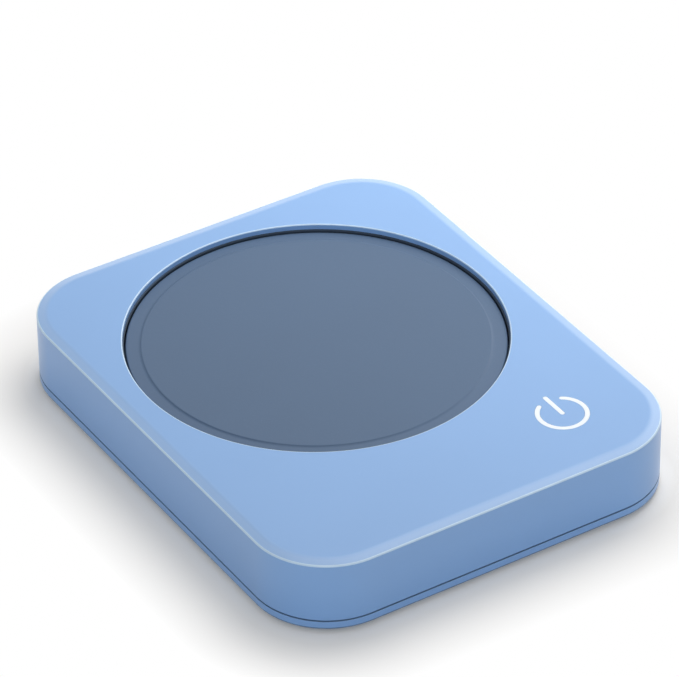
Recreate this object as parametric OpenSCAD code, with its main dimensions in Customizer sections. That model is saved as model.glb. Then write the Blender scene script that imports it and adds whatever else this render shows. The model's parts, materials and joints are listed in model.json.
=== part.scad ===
// Electric mug warmer: a flat housing with a round well, a sprung heating plate that senses
// the mug's weight, and a touch key under the power mark. All sizes are in millimetres.
// Origin: on the table, under the middle of the housing. +X right, +Y back, +Z up.

/* [Housing] */
// Width of the housing, left to right
body_w = 105; // [104:1:130]
// Depth of the housing, front to back
body_d = 129; // [127:1:150]
// Height from the table to the top face
body_h = 19.2; // [18.7:0.5:26]
// Radius of the housing's corners in plan
corner_r = 18.5; // [16.5:0.5:19.5]
// Wall of the top cover
cover_wall = 2.2; // [1.8:0.1:2.4]
// Thickness of the cover's flat top
cover_top_t = 2.2; // [1.8:0.1:2.6]
// Floor of the base tray
floor_t = 1.8; // [1.6:0.1:2.2]
// Height of the tray's band below the parting line
band_h = 2.6; // [2.4:0.1:3.2]
// Shadow gap at the parting line
seam_gap = 0.3; // [0.2:0.05:0.5]
// Radius of the tray's lower edge
tray_edge_r = 0.7; // [0.6:0.1:1.6]

/* [Rim of the top] */
// Width of the sloped rim around the top
rim_w = 2; // [1.5:0.1:4.5]
// Slope of the rim, in degrees
rim_angle = 13; // [8:1:15]
// Radius that blends the slope into the flat top
rim_blend_r = 4; // [3:0.5:14]
// Radius of the crisp outer edge
rim_edge_r = 0.4; // [0.3:0.1:0.8]

/* [Well and heating plate] */
// Radius of the well that takes the mug
well_r = 45; // [43:0.5:45.5]
// Distance from the well to the back of the housing
well_back = 7.5; // [7:0.1:8]
// Depth of the well, down to the plate
well_depth = 1.5; // [1.2:0.1:2]
// Height of the lip around the mouth of the well
lip_h = 1.4; // [1.2:0.1:1.7]
// Chamfer at the mouth of the well
mouth_chamfer = 0.3; // [0.1:0.1:0.5]
// Gap between the lip and the plate
plate_gap = 0.6; // [0.4:0.1:0.9]
// Thickness of the plate's disc
plate_t = 2.4; // [2:0.1:3]
// Height of the plate casting, with its skirt
plate_h = 5.3; // [4.9:0.1:5.8]
// Travel of the plate under a mug
plate_travel = 0.8; // [0.5:0.1:1]
// Wall of the plate's skirt
skirt_t = 2.2; // [1.6:0.1:2.6]
// Width of the plate's retaining flange, which is cut into three lugs
flange_w = 3; // [2.6:0.1:3.2]
// Thickness of the retaining flange
flange_t = 1.4; // [1:0.1:1.8]
// Width of the low border around the plate's raised land
land_border = 3; // [2:0.5:5]
// Height of the raised land
land_h = 0.3; // [0.2:0.05:0.5]

/* [Heater stack] */
// Outer radius of the heating element
heater_r = 33; // [30:0.5:35]
// Radius of the opening in its middle
heater_hole_r = 14; // [12.8:0.1:16]
// Thickness of the heating element
heater_t = 1.6; // [1.2:0.1:2]
// Thickness of the insulation pad
pad_t = 2; // [1.6:0.1:2.4]
// Thickness of the steel clamp plate
clamp_t = 0.8; // [0.6:0.1:1.2]
// Radius of the circle of clamp screws, inside the heater's opening
clamp_screw_ring_r = 9.4; // [8.4:0.1:10.4]
// Radius of the circle of plate springs
spring_ring_r = 24; // [22:0.5:26]
// Radius of the circle of stop posts
stop_ring_r = 30.5; // [28:0.5:32]

/* [Plate springs] */
// Wire of a plate spring
spring_wire = 0.6; // [0.4:0.1:0.8]
// Mean radius of a plate spring
spring_r = 2.7; // [2.5:0.1:3]
// Turns of a plate spring
spring_turns = 5; // [4:1:6]

/* [Power mark] */
// Distance of the mark from the right side
mark_side = 22.2; // [21.5:0.1:24]
// Distance of the mark from the front
mark_front = 20.2; // [19.5:0.1:20.4]
// Mean radius of the mark's ring
mark_r = 5.7; // [5:0.1:6]
// Line width of the mark
mark_line = 1.1; // [0.8:0.1:1.4]
// Half of the angle left open at the top of the ring
mark_open = 33; // [26:1:45]
// Length of the mark's bar
mark_bar = 6.8; // [6:0.1:7.4]

/* [Control board] */
// Depth of the board, front to back
board_d = 20; // [20:0.5:24]
// Thickness of the board
board_t = 1.6; // [1.2:0.2:2]
// Height of the board above the tray's floor
board_lift = 2.4; // [1.8:0.1:3.2]

/* [Fasteners] */
// Radius of a housing screw's shank
screw_r = 1.4; // [1.2:0.1:1.5]
// Radius of a housing screw's head
screw_head_r = 2.7; // [2.4:0.1:2.8]
// Radius of a small screw's shank
small_screw_r = 1.1; // [0.9:0.1:1.2]
// Radius of a small screw's head
small_head_r = 2.1; // [1.9:0.1:2.2]

/* [Feet and cord bush] */
// How far a foot stands below the tray
foot_proud = 0.8; // [0.4:0.1:1.4]
// Radius of a foot
foot_r = 6.4; // [5:0.1:7]
// Radius of the cord's passage through the bush
cord_bore_r = 2.6; // [2.2:0.1:2.8]
// Distance of the bush from the middle of the back
bush_x = 26; // [24:0.5:27]

/* [Hidden] */

$fn = 96;
eps = 0.01;      // overlap that makes cuts clean
fit_gap = 0.15;  // clearance between rigid pieces of the housing
hole_gap = 0.1;  // radial clearance of a screw or pin in its hole

// Heights, from the table up
base_z = foot_proud;
floor_z = base_z + floor_t;
part_z = base_z + band_h;
top_z = body_h;
under_z = top_z - cover_top_t;
plate_z = top_z - well_depth;
plate_under_z = plate_z - plate_t;
plate_bottom_z = plate_z - plate_h;
flange_top_z = plate_bottom_z + flange_t;
heater_z = plate_under_z - heater_t;
pad_z = heater_z - pad_t;
clamp_z = pad_z - clamp_t;
board_z = floor_z + board_lift;
board_top_z = board_z + board_t;

// Places in plan
well_y = body_d / 2 - well_back - well_r;
plate_r = well_r - plate_gap;
seat_r = well_r + 0.5;          // inside of the collar below the lip
collar_t = 1.6;
skirt_r = plate_r - skirt_t;    // inside of the plate's skirt
lug_angles = [90, 220, 320];
lug_w = 16;
mark_pos = [body_w / 2 - mark_side, -body_d / 2 + mark_front];
foot_inset = [19.5, 20];
foot_pos = [body_w / 2 - foot_inset.x, body_d / 2 - foot_inset.y];

// Rim of the top cover
rim_foot_x = corner_r - rim_edge_r * (1 - sin(rim_angle));
rim_head_x = corner_r - rim_w;
rim_drop = (rim_foot_x - rim_head_x) * tan(rim_angle) + rim_blend_r * (1 - cos(rim_angle))
    + rim_edge_r * cos(rim_angle);
edge_centre_z = top_z - rim_drop;   // centre of the crisp edge's arc

// Tray lip, which stands inside the cover's wall
lip_inset = cover_wall + fit_gap;
tray_lip_t = 1.5;
tray_lip_top_z = part_z + 2.8;
cavity_inset = lip_inset + tray_lip_t;

// Screw posts, one in each corner of the cover
post_r = 3.3;
pillar_r = 4;
post_reach = corner_r - cavity_inset - post_r - 0.35;
post_angle = 40;
post_pos = [body_w / 2 - corner_r + post_reach * cos(post_angle),
    body_d / 2 - corner_r + post_reach * sin(post_angle)];
joint_z = floor_z + 3.4;            // where tray pillars meet the cover's posts
housing_head_h = 1.8;
housing_head_z = base_z + 0.7;
housing_screw_l = 9;
housing_head_top_z = housing_head_z + housing_head_h;

// Heater stack
clamp_r = heater_r + 0.5;
clamp_screw_angles = [90, 210, 330];
clamp_boss_r = 3;
clamp_screw_head_h = 1.2;
clamp_screw_l = 3.6;
tab_x = 7;
tab_w = 4;
tab_l = 3;
tab_t = 0.5;
tab_y = well_y - heater_r - tab_l;  // front of the heater's tabs
sensor_pos = [0, well_y - 8];
sensor_r = 2.4;
sensor_hole_r = 1.8;
fuse_pos = [17, -22];               // thermal fuse, from the middle of the well
fuse_r = 1.9;
fuse_l = 11;
fuse_tail = 2;
fuse_tail_r = 0.5;
strap_t = 0.6;
strap_w = 4;
strap_screw_y = 6;
strap_screw_pos = [fuse_pos.x, well_y + fuse_pos.y + strap_screw_y];

// Springs, switch and stops under the plate
spring_angles = [150, 30, 270];
stop_angles = [0, 120, 240];
stop_post_r = 2.4;
spring_pin_r = spring_r - spring_wire / 2 - 0.3;
spring_pin_h = 2.6;
dimple_h = 1;
switch_size = [12.8, 5.8, 4];
plunger_size = [3, 1.6];
plunger_proud = clamp_screw_head_h + plate_travel + 0.2;
switch_z = clamp_z - plunger_proud - switch_size.z;
switch_pin_x = 3.2;
plunger_pocket = 2.4;
blade_x = [-4.6, 0, 4.6];
blade_l = 3;
blade_t = 0.4;
blade_z = switch_z + 1.2;
shield_t = 0.4;
shield_gap = 0.6;
shield_r = stop_ring_r + stop_post_r + shield_gap + 1;

// Control board and what stands on it
board_front_y = -body_d / 2 + cavity_inset + 0.5;
board_back_y = board_front_y + board_d;
board_w = 2 * (mark_pos.x + 6);
board_left_x = -board_w / 2;
board_corner_r = 3;
standoff_r = 2.6;
standoffs = [
    [board_left_x + 3.6, board_front_y + 3.4],
    [-board_left_x - 3.6, board_front_y + 3.4],
    [board_left_x + 3.6, board_back_y - 3.4]
];
board_screw_l = 4;
board_head_h = 1.3;
guide_t = 1.2;                      // base of the light guide, under the cover
guide_edge = 0.8;                   // how far it reaches past the mark
guide_r = mark_r + mark_line / 2 + guide_edge;
touch_wire = 0.5;
touch_r = 3.3;
touch_turns = 6;
touch_z = under_z - guide_t;
led_r = 1.5;
chip_size = [9.9, 3.9, 1.5];
chip_pos = [mark_pos.x - touch_r - 6.7, board_back_y - 4];
relay_size = [10, 14, 7];
relay_place = [20.5, 7.5];          // places are from the board's left front corner
relay_pos = on_board(relay_place);
converter_size = [17, 9.4, 6.6];
converter_place = [35, 5.2];
converter_pos = on_board(converter_place);
capacitor_r = 3;
capacitor_l = 9;
capacitor_place = [49, 3.5];
capacitor_pos = on_board(capacitor_place);
terminal_size = [10, 8, 6.8];
terminal_place = [9, 10];
terminal_pos = on_board(terminal_place);
board_fuse_r = 1.6;
board_fuse_l = 9;
board_fuse_x = 14;
board_fuse_pos = [board_left_x + board_fuse_x, board_back_y - board_fuse_r - 1];
connector_size = [20, 4.6, 4.4];
connector_pos = [0, board_back_y - connector_size.y / 2 - 0.7];

// Leads
lead_r = 0.9;
thin_lead_r = 0.55;
lead_gap = 0.1;                     // between the end of a lead and what it joins
lead_drop = 1.1;                    // how far a lead goes straight down from a tab
lead_turn = 1.6;                    // run of a lead in a bend
lead_under = 2.5;                   // how far the sensor's leads hang under the clamp plate
pin_x = [-7.5, -4.5, -2.3, 1.25, 3.75, 7.5];    // leads along the connector, left to right
lead_end_y = connector_pos.y + connector_size.y / 2 + lead_gap;
lead_end_z = board_top_z + connector_size.z / 2;
lead_low_z = min(plate_bottom_z - plate_travel - 2.2, lead_end_z + 0.6);
spring_pass = spring_r + spring_wire / 2 + thin_lead_r + 0.2;   // a lead's way past a spring
lead_pitch = 1.25;                  // distance between two thin leads

// Cord bush in the back wall
bush_neck_r = cord_bore_r + 1.2;
bush_flange_r = bush_neck_r + 1.1;
bush_boss_r = bush_flange_r + 1.2;
bush_z = part_z + bush_boss_r;
bush_flange_t = 1.1;
bush_pocket = 1.2;
bush_wall = 2.2;
bush_outer_y = body_d / 2 - bush_pocket;
bush_inner_y = bush_outer_y - bush_wall;
fork_t = 1.5;
fork_w = 14;
fork_y = bush_inner_y - bush_flange_t - fork_t / 2 - 0.05;
bush_end_y = fork_y - fork_t / 2 - 0.05 - bush_flange_t;
fork_h = bush_z - floor_z + 3;
fork_rail = 1.4;
fork_gap = 0.1;

// Vents and plain label recess in the underside
vent_size = [2, 12];
vent_step = 5;
vent_count = 5;
label_size = [44, 26];
label_depth = 0.3;
foot_recess = 0.6;

// ---- Helpers

// Points of an arc in the drawing plane
function arc(centre, r, from, to, steps) = [
    for (i = [0:steps])
        let (a = from + (to - from) * i / steps)
            [centre.x + r * cos(a), centre.y + r * sin(a)]
];

// A place on the control board, from its left front corner
function on_board(place) = [board_left_x + place.x, board_front_y + place.y];

// A place on a circle around the middle of the well
function on_well(r, a) = [r * cos(a), well_y + r * sin(a)];

function unit(v) = v / norm(v);

// Direction of a route at one of its points
function bearing(p, i) = let (n = len(p) - 1)
    i == 0 ? unit(p[1] - p[0]) : i == n ? unit(p[n] - p[n - 1])
    : unit(unit(p[i] - p[i - 1]) + unit(p[i + 1] - p[i]));

// A point on the smooth curve from a to b, which leaves along u and arrives along v
function between(a, b, u, v, t) = a + (b - a) * t * t * (3 - 2 * t)
    + norm(b - a) * t * (1 - t) * (u * (1 - t) - v * t);

// A smooth route through hand-set points, with steps pieces between each two
function route(p, steps) = let (n = len(p) - 1) concat([
    for (i = [0:n - 1], k = [0:steps - 1])
        between(p[i], p[i + 1], bearing(p, i), bearing(p, i + 1), k / steps)
], [p[n]]);

// Directions of a path at its points
function headings(p) = let (n = len(p) - 1)
    [for (i = [0:n]) unit(p[min(i + 1, n)] - p[max(i - 1, 0)])];

// Sideways directions carried along a path without twist
function sides_along(h, i, last) = i >= len(h) ? [] :
    let (s = unit(last - (last * h[i]) * h[i])) concat([s], sides_along(h, i + 1, s));

// A round wire along a path
module wire(p, r, sides = 8) {
    h = headings(p);
    s = sides_along(h, 0, abs(h[0].z) > 0.8 ? [1, 0, 0] : [0, 0, 1]);
    n = len(p);
    points = [
        for (i = [0:n - 1], k = [0:sides - 1])
            let (a = 360 * k / sides, b = cross(h[i], s[i]))
                p[i] + r * (cos(a) * s[i] + sin(a) * b)
    ];
    walls = [
        for (i = [0:n - 2], k = [0:sides - 1])
            let (a = i * sides + k, b = i * sides + (k + 1) % sides)
                each [[a, b, b + sides], [a, b + sides, a + sides]]
    ];
    polyhedron(points, concat(
        [[for (k = [0:sides - 1]) sides - 1 - k]], walls,
        [[for (k = [0:sides - 1]) (n - 1) * sides + k]]
    ));
}

// Path of a compression spring with a closed turn at each end
function coil(r, wire_d, turns, h, steps = 14) = [
    for (i = [0:turns * steps])
        let (t = i / steps, open = h - 3 * wire_d,
            rise = min(t, 1) * wire_d + max(0, min(t - 1, turns - 2)) * open / (turns - 2)
                + max(0, t - turns + 1) * wire_d)
            [r * cos(360 * t), r * sin(360 * t), wire_d / 2 + rise]
];

// A slab with rounded corners
module slab(w, d, r, z0, z1) {
    translate([0, 0, z0]) {
        translate([-w / 2 + r, -d / 2, 0]) cube([w - 2 * r, d, z1 - z0]);
        translate([-w / 2, -d / 2 + r, 0]) cube([w, d - 2 * r, z1 - z0]);
        at_corners([w / 2 - r, d / 2 - r]) cylinder(r = r, h = z1 - z0);
    }
}

// Runs a section around a slab. The section starts at a corner's centre, and z0 to z1 is
// its height there.
module swept_slab(w, d, r, z0, z1) {
    x = w / 2 - r;
    y = d / 2 - r;
    translate([-x, -y, z0]) cube([2 * x, 2 * y, z1 - z0]);
    for (q = [[x, y, 0], [-x, y, 90], [-x, -y, 180], [x, -y, 270]])
        translate([q.x, q.y, 0]) rotate(q.z) rotate_extrude(angle = 90) children();
    for (q = [[x, y, 0, 2 * y], [-x, y, 90, 2 * x], [-x, -y, 180, 2 * y], [x, -y, 270, 2 * x]])
        translate([q.x, q.y, 0]) rotate(q.z) rotate([90, 0, 0])
            linear_extrude(q[3]) children();
}

module at_corners(p) {
    for (sx = [-1, 1], sy = [-1, 1]) translate([sx * p.x, sy * p.y, 0]) children();
}

module at_well() {
    translate([0, well_y, 0]) children();
}

module around_well(r, angles) {
    for (a = angles) translate(on_well(r, a)) children();
}

// A tube between two heights
module ring(r_in, r_out, z0, z1) {
    translate([0, 0, z0]) difference() {
        cylinder(r = r_out, h = z1 - z0);
        translate([0, 0, -1]) cylinder(r = r_in, h = z1 - z0 + 2);
    }
}

module disc(r, z0, z1) {
    translate([0, 0, z0]) cylinder(r = r, h = z1 - z0);
}

// A block centred on a place
module block(pos, size, z) {
    translate([pos.x - size.x / 2, pos.y - size.y / 2, z]) cube(size);
}

// A slot with round ends, along Y
module slot(size, z0, z1) {
    r = size.x / 2;
    run = size.y / 2 - r;
    translate([-r, -run, z0]) cube([size.x, 2 * run, z1 - z0]);
    for (s = [-1, 1]) translate([0, s * run, z0]) cylinder(r = r, h = z1 - z0);
}

// A pan-head screw with a cross drive: its head stands on z, and its shank goes up or down
module screw(r, head_r, head_h, length, z, up = false) {
    translate([0, 0, z]) mirror([0, 0, up ? 1 : 0]) {
        difference() {
            union() {
                cylinder(r = head_r, h = head_h * 0.5);
                translate([0, 0, head_h * 0.5])
                    cylinder(r1 = head_r, r2 = head_r * 0.7, h = head_h * 0.5);
            }
            for (a = [0, 90]) rotate(a) translate([-head_r * 0.5, -0.25, head_h * 0.45])
                cube([head_r, 0.5, head_h]);
        }
        translate([0, 0, -length + r]) cylinder(r = r, h = length - r);
        translate([0, 0, -length]) cylinder(r1 = r * 0.3, r2 = r, h = r);
    }
}

// The bar of the power sign, which points to the back
module power_bar(grow, z0, z1) {
    half = mark_line / 2 + grow;
    translate([mark_pos.x, mark_pos.y, z0]) {
        translate([-half, 0, 0]) cube([2 * half, mark_bar, z1 - z0]);
        for (y = [0, mark_bar]) translate([0, y, 0]) cylinder(r = half, h = z1 - z0);
    }
}

// The power sign as a solid: an open ring and a bar
module power_sign(grow, z0, z1) {
    half = mark_line / 2 + grow;
    h = z1 - z0;
    translate([mark_pos.x, mark_pos.y, z0]) {
        rotate(90 + mark_open) rotate_extrude(angle = 360 - 2 * mark_open)
            translate([mark_r - half, 0]) square([2 * half, h]);
        for (s = [-1, 1]) rotate(90 + s * mark_open) translate([mark_r, 0, 0])
            cylinder(r = half, h = h);
    }
    power_bar(grow, z0, z1);
}

// Base of the light guide, under the whole sign
module guide_base(grow, z0, z1) {
    translate(mark_pos) disc(guide_r + grow, z0, z1);
    power_bar(guide_edge + grow, z0, z1);
}

// ---- Housing

module cover_section() {
    polygon(concat(
        [[0, part_z], [corner_r, part_z]],
        arc([corner_r - rim_edge_r, edge_centre_z], rim_edge_r, 0, 90 - rim_angle, 5),
        arc([rim_head_x - rim_blend_r * sin(rim_angle), top_z - rim_blend_r], rim_blend_r,
            90 - rim_angle, 90, 5),
        [[0, top_z]]
    ));
}

module cover_posts() {
    at_corners(post_pos) disc(post_r, joint_z, under_z + eps);
    at_well() disc(seat_r + collar_t, flange_top_z, under_z + eps);
    translate([bush_x, bush_inner_y, bush_z]) rotate([-90, 0, 0])
        cylinder(r = bush_boss_r, h = bush_wall);
}

module cover_cuts() {
    at_corners(post_pos)
        disc(screw_r + hole_gap, joint_z - 1, housing_head_top_z + housing_screw_l + 0.6);
    at_well() {
        disc(well_r, under_z, top_z + 1);
        disc(seat_r, flange_top_z - 1, top_z - lip_h);
        translate([0, 0, top_z - mouth_chamfer])
            cylinder(r1 = well_r, r2 = well_r + mouth_chamfer + eps, h = mouth_chamfer + eps);
    }
    power_sign(0.05, under_z - 1, top_z + 1);
    guide_base(fit_gap, touch_z - 1, under_z);
    translate([bush_x, 0, bush_z]) rotate([-90, 0, 0]) {
        translate([0, 0, bush_outer_y]) cylinder(r = bush_flange_r + 0.3, h = bush_pocket + 1);
        translate([0, 0, bush_inner_y - 1]) cylinder(r = bush_neck_r + 0.05, h = bush_wall + 2);
    }
}

module top_cover() {
    color("cornflowerblue") difference() {
        union() {
            difference() {
                swept_slab(body_w, body_d, corner_r, part_z, top_z) cover_section();
                slab(body_w - 2 * cover_wall, body_d - 2 * cover_wall, corner_r - cover_wall,
                    part_z - 1, under_z);
            }
            cover_posts();
        }
        cover_cuts();
    }
}

module tray_section() {
    polygon(concat(
        [[0, base_z]],
        arc([corner_r - tray_edge_r, base_z + tray_edge_r], tray_edge_r, -90, 0, 5),
        [[corner_r, part_z - seam_gap], [corner_r - lip_inset, part_z - seam_gap],
         [corner_r - lip_inset, tray_lip_top_z], [0, tray_lip_top_z]]
    ));
}

module tray_supports() {
    at_corners(post_pos) disc(pillar_r, floor_z - eps, joint_z);
    for (p = standoffs) translate(p) disc(standoff_r, floor_z - eps, board_z);
    around_well(spring_ring_r, spring_angles)
        disc(spring_pin_r, floor_z - eps, floor_z + spring_pin_h);
    around_well(stop_ring_r, stop_angles)
        disc(stop_post_r, floor_z - eps, clamp_z - plate_travel);
    at_well() {
        ring(shield_r + 0.3, shield_r + 1.5, floor_z - eps, floor_z + 1.2);
        block([0, 0], [switch_size.x + 1, switch_size.y + 1, switch_z - floor_z + eps],
            floor_z - eps);
        for (s = [-1, 1]) translate([s * switch_pin_x, 0, 0])
            disc(1, floor_z, switch_z + switch_size.z - plunger_pocket - 0.5);
    }
    for (s = [-1, 1]) block([bush_x + s * ((fork_w + fork_rail) / 2 + fork_gap), fork_y],
        [fork_rail, fork_t, fork_h * 0.6], floor_z - eps);
}

module tray_cuts() {
    at_corners(post_pos) {
        disc(screw_head_r + 0.3, base_z - 1, housing_head_top_z);
        disc(screw_r + 2 * hole_gap, base_z, joint_z + 1);
    }
    at_corners(foot_pos) disc(foot_r + 0.15, base_z - 1, base_z + foot_recess);
    for (p = standoffs) translate(p)
        disc(small_screw_r + hole_gap, board_top_z - board_screw_l - 0.4, board_z + 1);
    for (i = [0:vent_count - 1])
        translate([(i - (vent_count - 1) / 2) * vent_step, board_front_y + board_d / 2, 0])
            slot(vent_size, base_z - 1, floor_z + 1);
    block([0, well_y], [label_size.x, label_size.y, label_depth + 1], base_z - 1);
}

// Room in the tray's lip for the cord bush
module bush_notch() {
    w = fork_w + 2 * fork_rail + 2;
    lip_y = body_d / 2 - lip_inset;
    translate([bush_x - w / 2, lip_y - tray_lip_t - eps, floor_z])
        cube([w, tray_lip_t + 2 * eps, tray_lip_top_z]);
}

module base_tray() {
    color("cornflowerblue") difference() {
        union() {
            difference() {
                swept_slab(body_w, body_d, corner_r, base_z, tray_lip_top_z) tray_section();
                slab(body_w - 2 * cavity_inset, body_d - 2 * cavity_inset,
                    corner_r - cavity_inset, floor_z, tray_lip_top_z + 1);
                bush_notch();
            }
            tray_supports();
        }
        tray_cuts();
    }
}

module housing_screws() {
    color("silver") at_corners(post_pos)
        screw(screw_r, screw_head_r, housing_head_h, housing_screw_l, housing_head_top_z,
            up = true);
}

module foot(sx, sy) {
    color("dimgray") translate([sx * foot_pos.x, sy * foot_pos.y, 0]) {
        cylinder(r1 = foot_r - 0.4, r2 = foot_r, h = 0.4);
        disc(foot_r, 0.4, base_z + foot_recess);
    }
}

// ---- Power mark and touch key

module power_mark() {
    color("white") {
        guide_base(0, touch_z, under_z);
        power_sign(0, under_z - eps, top_z);
    }
}

module touch_spring() {
    color("silver") translate([mark_pos.x, mark_pos.y, board_top_z])
        wire(coil(touch_r, touch_wire, touch_turns, touch_z - board_top_z, 16), touch_wire / 2, 6);
}

module mark_led() {
    color("white") translate(mark_pos) {
        disc(led_r + 0.3, board_top_z, board_top_z + 0.8);
        disc(led_r, board_top_z + 0.8 - eps, board_top_z + 2.6);
        translate([0, 0, board_top_z + 2.6]) sphere(r = led_r);
    }
}

// ---- Heating plate and what hangs on it

module heating_plate() {
    edge = 0.4;
    root = 1;
    color("slategray") difference() {
        at_well() {
            rotate_extrude() polygon([
                [skirt_r, plate_bottom_z], [plate_r, plate_bottom_z],
                [plate_r, plate_z - land_h - edge], [plate_r - edge, plate_z - land_h],
                [plate_r - land_border, plate_z - land_h],
                [plate_r - land_border - land_h, plate_z], [0, plate_z],
                [0, plate_under_z], [skirt_r, plate_under_z]
            ]);
            for (a = lug_angles) rotate(a) intersection() {
                disc(plate_r + flange_w, plate_bottom_z, flange_top_z);
                translate([skirt_r + root, -lug_w / 2, plate_bottom_z])
                    cube([flange_w + skirt_t, lug_w, flange_t]);
            }
            for (a = clamp_screw_angles) rotate(a) translate([clamp_screw_ring_r, 0, 0])
                disc(clamp_boss_r, pad_z, plate_under_z + eps);
        }
        around_well(clamp_screw_ring_r, clamp_screw_angles)
            disc(small_screw_r + hole_gap, clamp_z - 1, clamp_z + clamp_screw_l + 0.5);
    }
}

// Soft ring in the collar, whose upper edge leans in towards the plate
module plate_seal() {
    outer_r = seat_r - 0.05;
    lip_z = top_z - lip_h - 0.05;
    color("dimgray") at_well() rotate_extrude() polygon([
        [outer_r, flange_top_z + 1], [outer_r, lip_z], [plate_r + 0.25, lip_z],
        [outer_r - 0.4, flange_top_z + 1]
    ]);
}

module heating_element() {
    tab_z = heater_z + (heater_t - tab_t) / 2;
    color("darkkhaki") {
        at_well() ring(heater_hole_r, heater_r, heater_z, plate_under_z);
        for (s = [-1, 1]) translate([s * tab_x - tab_w / 2, tab_y, 0]) {
            translate([0, 0, tab_z]) cube([tab_w, tab_l + 1, tab_t]);
            translate([0, 0, pad_z]) cube([tab_w, tab_t, tab_z - pad_z + eps]);
        }
    }
}

module insulation_pad() {
    color("white") difference() {
        at_well() ring(heater_hole_r, heater_r, pad_z, heater_z);
        translate(strap_screw_pos) disc(small_screw_r + 0.5, pad_z - 1, heater_z + 1);
    }
}

module clamp_plate() {
    color("silver") difference() {
        union() {
            at_well() disc(clamp_r, clamp_z, pad_z);
            around_well(spring_ring_r, spring_angles)
                disc(spring_pin_r, clamp_z - dimple_h, clamp_z + eps);
        }
        around_well(clamp_screw_ring_r, clamp_screw_angles)
            disc(small_screw_r + hole_gap, clamp_z - 1, pad_z + 1);
        translate(sensor_pos) disc(sensor_hole_r, clamp_z - 1, pad_z + 1);
        translate(strap_screw_pos) disc(small_screw_r + hole_gap, clamp_z - 1, pad_z + 1);
    }
}

module clamp_screws() {
    color("silver") around_well(clamp_screw_ring_r, clamp_screw_angles)
        screw(small_screw_r, small_head_r, clamp_screw_head_h, clamp_screw_l, clamp_z, up = true);
}

module temperature_sensor() {
    color("goldenrod") translate(sensor_pos) disc(sensor_r, pad_z, plate_under_z);
}

module along_x(pos, z, r, length) {
    translate([pos.x - length / 2, pos.y, z]) rotate([0, 90, 0]) cylinder(r = r, h = length);
}

module thermal_fuse() {
    pos = [fuse_pos.x, well_y + fuse_pos.y];
    color("tan") {
        along_x(pos, clamp_z - fuse_r, fuse_r, fuse_l);
        along_x(pos, clamp_z - fuse_r, fuse_tail_r, fuse_l + 2 * fuse_tail);
    }
}

module fuse_clip() {
    pos = [fuse_pos.x, well_y + fuse_pos.y];
    z = clamp_z - fuse_r;
    r = fuse_r + 0.05;
    color("silver") difference() {
        union() {
            along_x(pos, z, r + strap_t, strap_w);
            translate([pos.x - strap_w / 2, pos.y - r - strap_t, z])
                cube([strap_w, 2 * (r + strap_t), fuse_r]);
            translate([pos.x - strap_w / 2, pos.y, clamp_z - strap_t])
                cube([strap_w, strap_screw_y + 2.4, strap_t]);
        }
        along_x(pos, z, r, strap_w + 2);
        translate([pos.x - strap_w, pos.y - r, z]) cube([2 * strap_w, 2 * r, fuse_r + 1]);
        translate(strap_screw_pos) disc(small_screw_r + hole_gap, clamp_z - strap_t - 1, clamp_z + 1);
    }
}

module fuse_clip_screw() {
    length = strap_t + clamp_t + 0.4 + small_screw_r;
    color("silver") translate(strap_screw_pos)
        screw(small_screw_r, small_head_r, clamp_screw_head_h, length, clamp_z - strap_t, up = true);
}

// ---- Springs, switch and shield under the plate

module plate_spring(i) {
    p = on_well(spring_ring_r, spring_angles[i]);
    seat = floor_z;
    color("silver") translate([p.x, p.y, seat])
        wire(coil(spring_r, spring_wire, spring_turns, clamp_z - seat), spring_wire / 2, 6);
}

module weight_switch() {
    top = switch_z + switch_size.z;
    color("black") difference() {
        block([0, well_y], switch_size, switch_z);
        for (s = [-1, 1]) translate([s * switch_pin_x, well_y, 0])
            disc(1 + hole_gap, switch_z - 1, top - plunger_pocket - 0.4);
        block([0, well_y], [plunger_size.x + 0.2, plunger_size.y + 0.2, plunger_pocket + 1],
            top - plunger_pocket);
    }
}

module switch_plunger() {
    foot_z = switch_z + switch_size.z - plunger_pocket + plate_travel + 0.1;
    color("white")
        block([0, well_y], [plunger_size.x, plunger_size.y, clamp_z - foot_z], foot_z);
}

module switch_terminals() {
    color("silver") for (x = blade_x)
        block([x, well_y - switch_size.y / 2 - blade_l / 2], [2 * blade_t, blade_l, blade_t], blade_z);
}

module heat_shield() {
    color("silver") difference() {
        at_well() disc(shield_r, floor_z, floor_z + shield_t);
        around_well(spring_ring_r, spring_angles)
            disc(spring_r + spring_wire / 2 + shield_gap, floor_z - 1, floor_z + 1);
        around_well(stop_ring_r, stop_angles)
            disc(stop_post_r + shield_gap, floor_z - 1, floor_z + 1);
        block([0, well_y], switch_size + [1, 1, 0] * (1 + 2 * shield_gap), floor_z - 1);
    }
}

// ---- Control board

module control_board() {
    color("darkgreen") difference() {
        translate([0, board_front_y + board_d / 2, 0])
            slab(board_w, board_d, board_corner_r, board_z, board_top_z);
        for (p = standoffs) translate(p) disc(small_screw_r + hole_gap, board_z - 1, board_top_z + 1);
    }
}

module board_screws() {
    color("silver") for (p = standoffs) translate(p)
        screw(small_screw_r, small_head_r, board_head_h, board_screw_l, board_top_z);
}

module controller_chip() {
    legs = 8;
    color("black") {
        block(chip_pos, chip_size, board_top_z + 0.1);
        for (i = [0:legs - 1], s = [-1, 1])
            block([chip_pos.x + (i - (legs - 1) / 2) * 1.2, chip_pos.y + s * (chip_size.y / 2 + 0.4)],
                [0.4, 1, 0.5], board_top_z);
    }
}

module power_relay() {
    color("royalblue") block(relay_pos, relay_size, board_top_z);
}

module power_converter() {
    color("dimgray") block(converter_pos, converter_size, board_top_z);
}

module smoothing_capacitor() {
    color("navy") along_x(capacitor_pos, board_top_z + capacitor_r, capacitor_r, capacitor_l);
}

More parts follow.
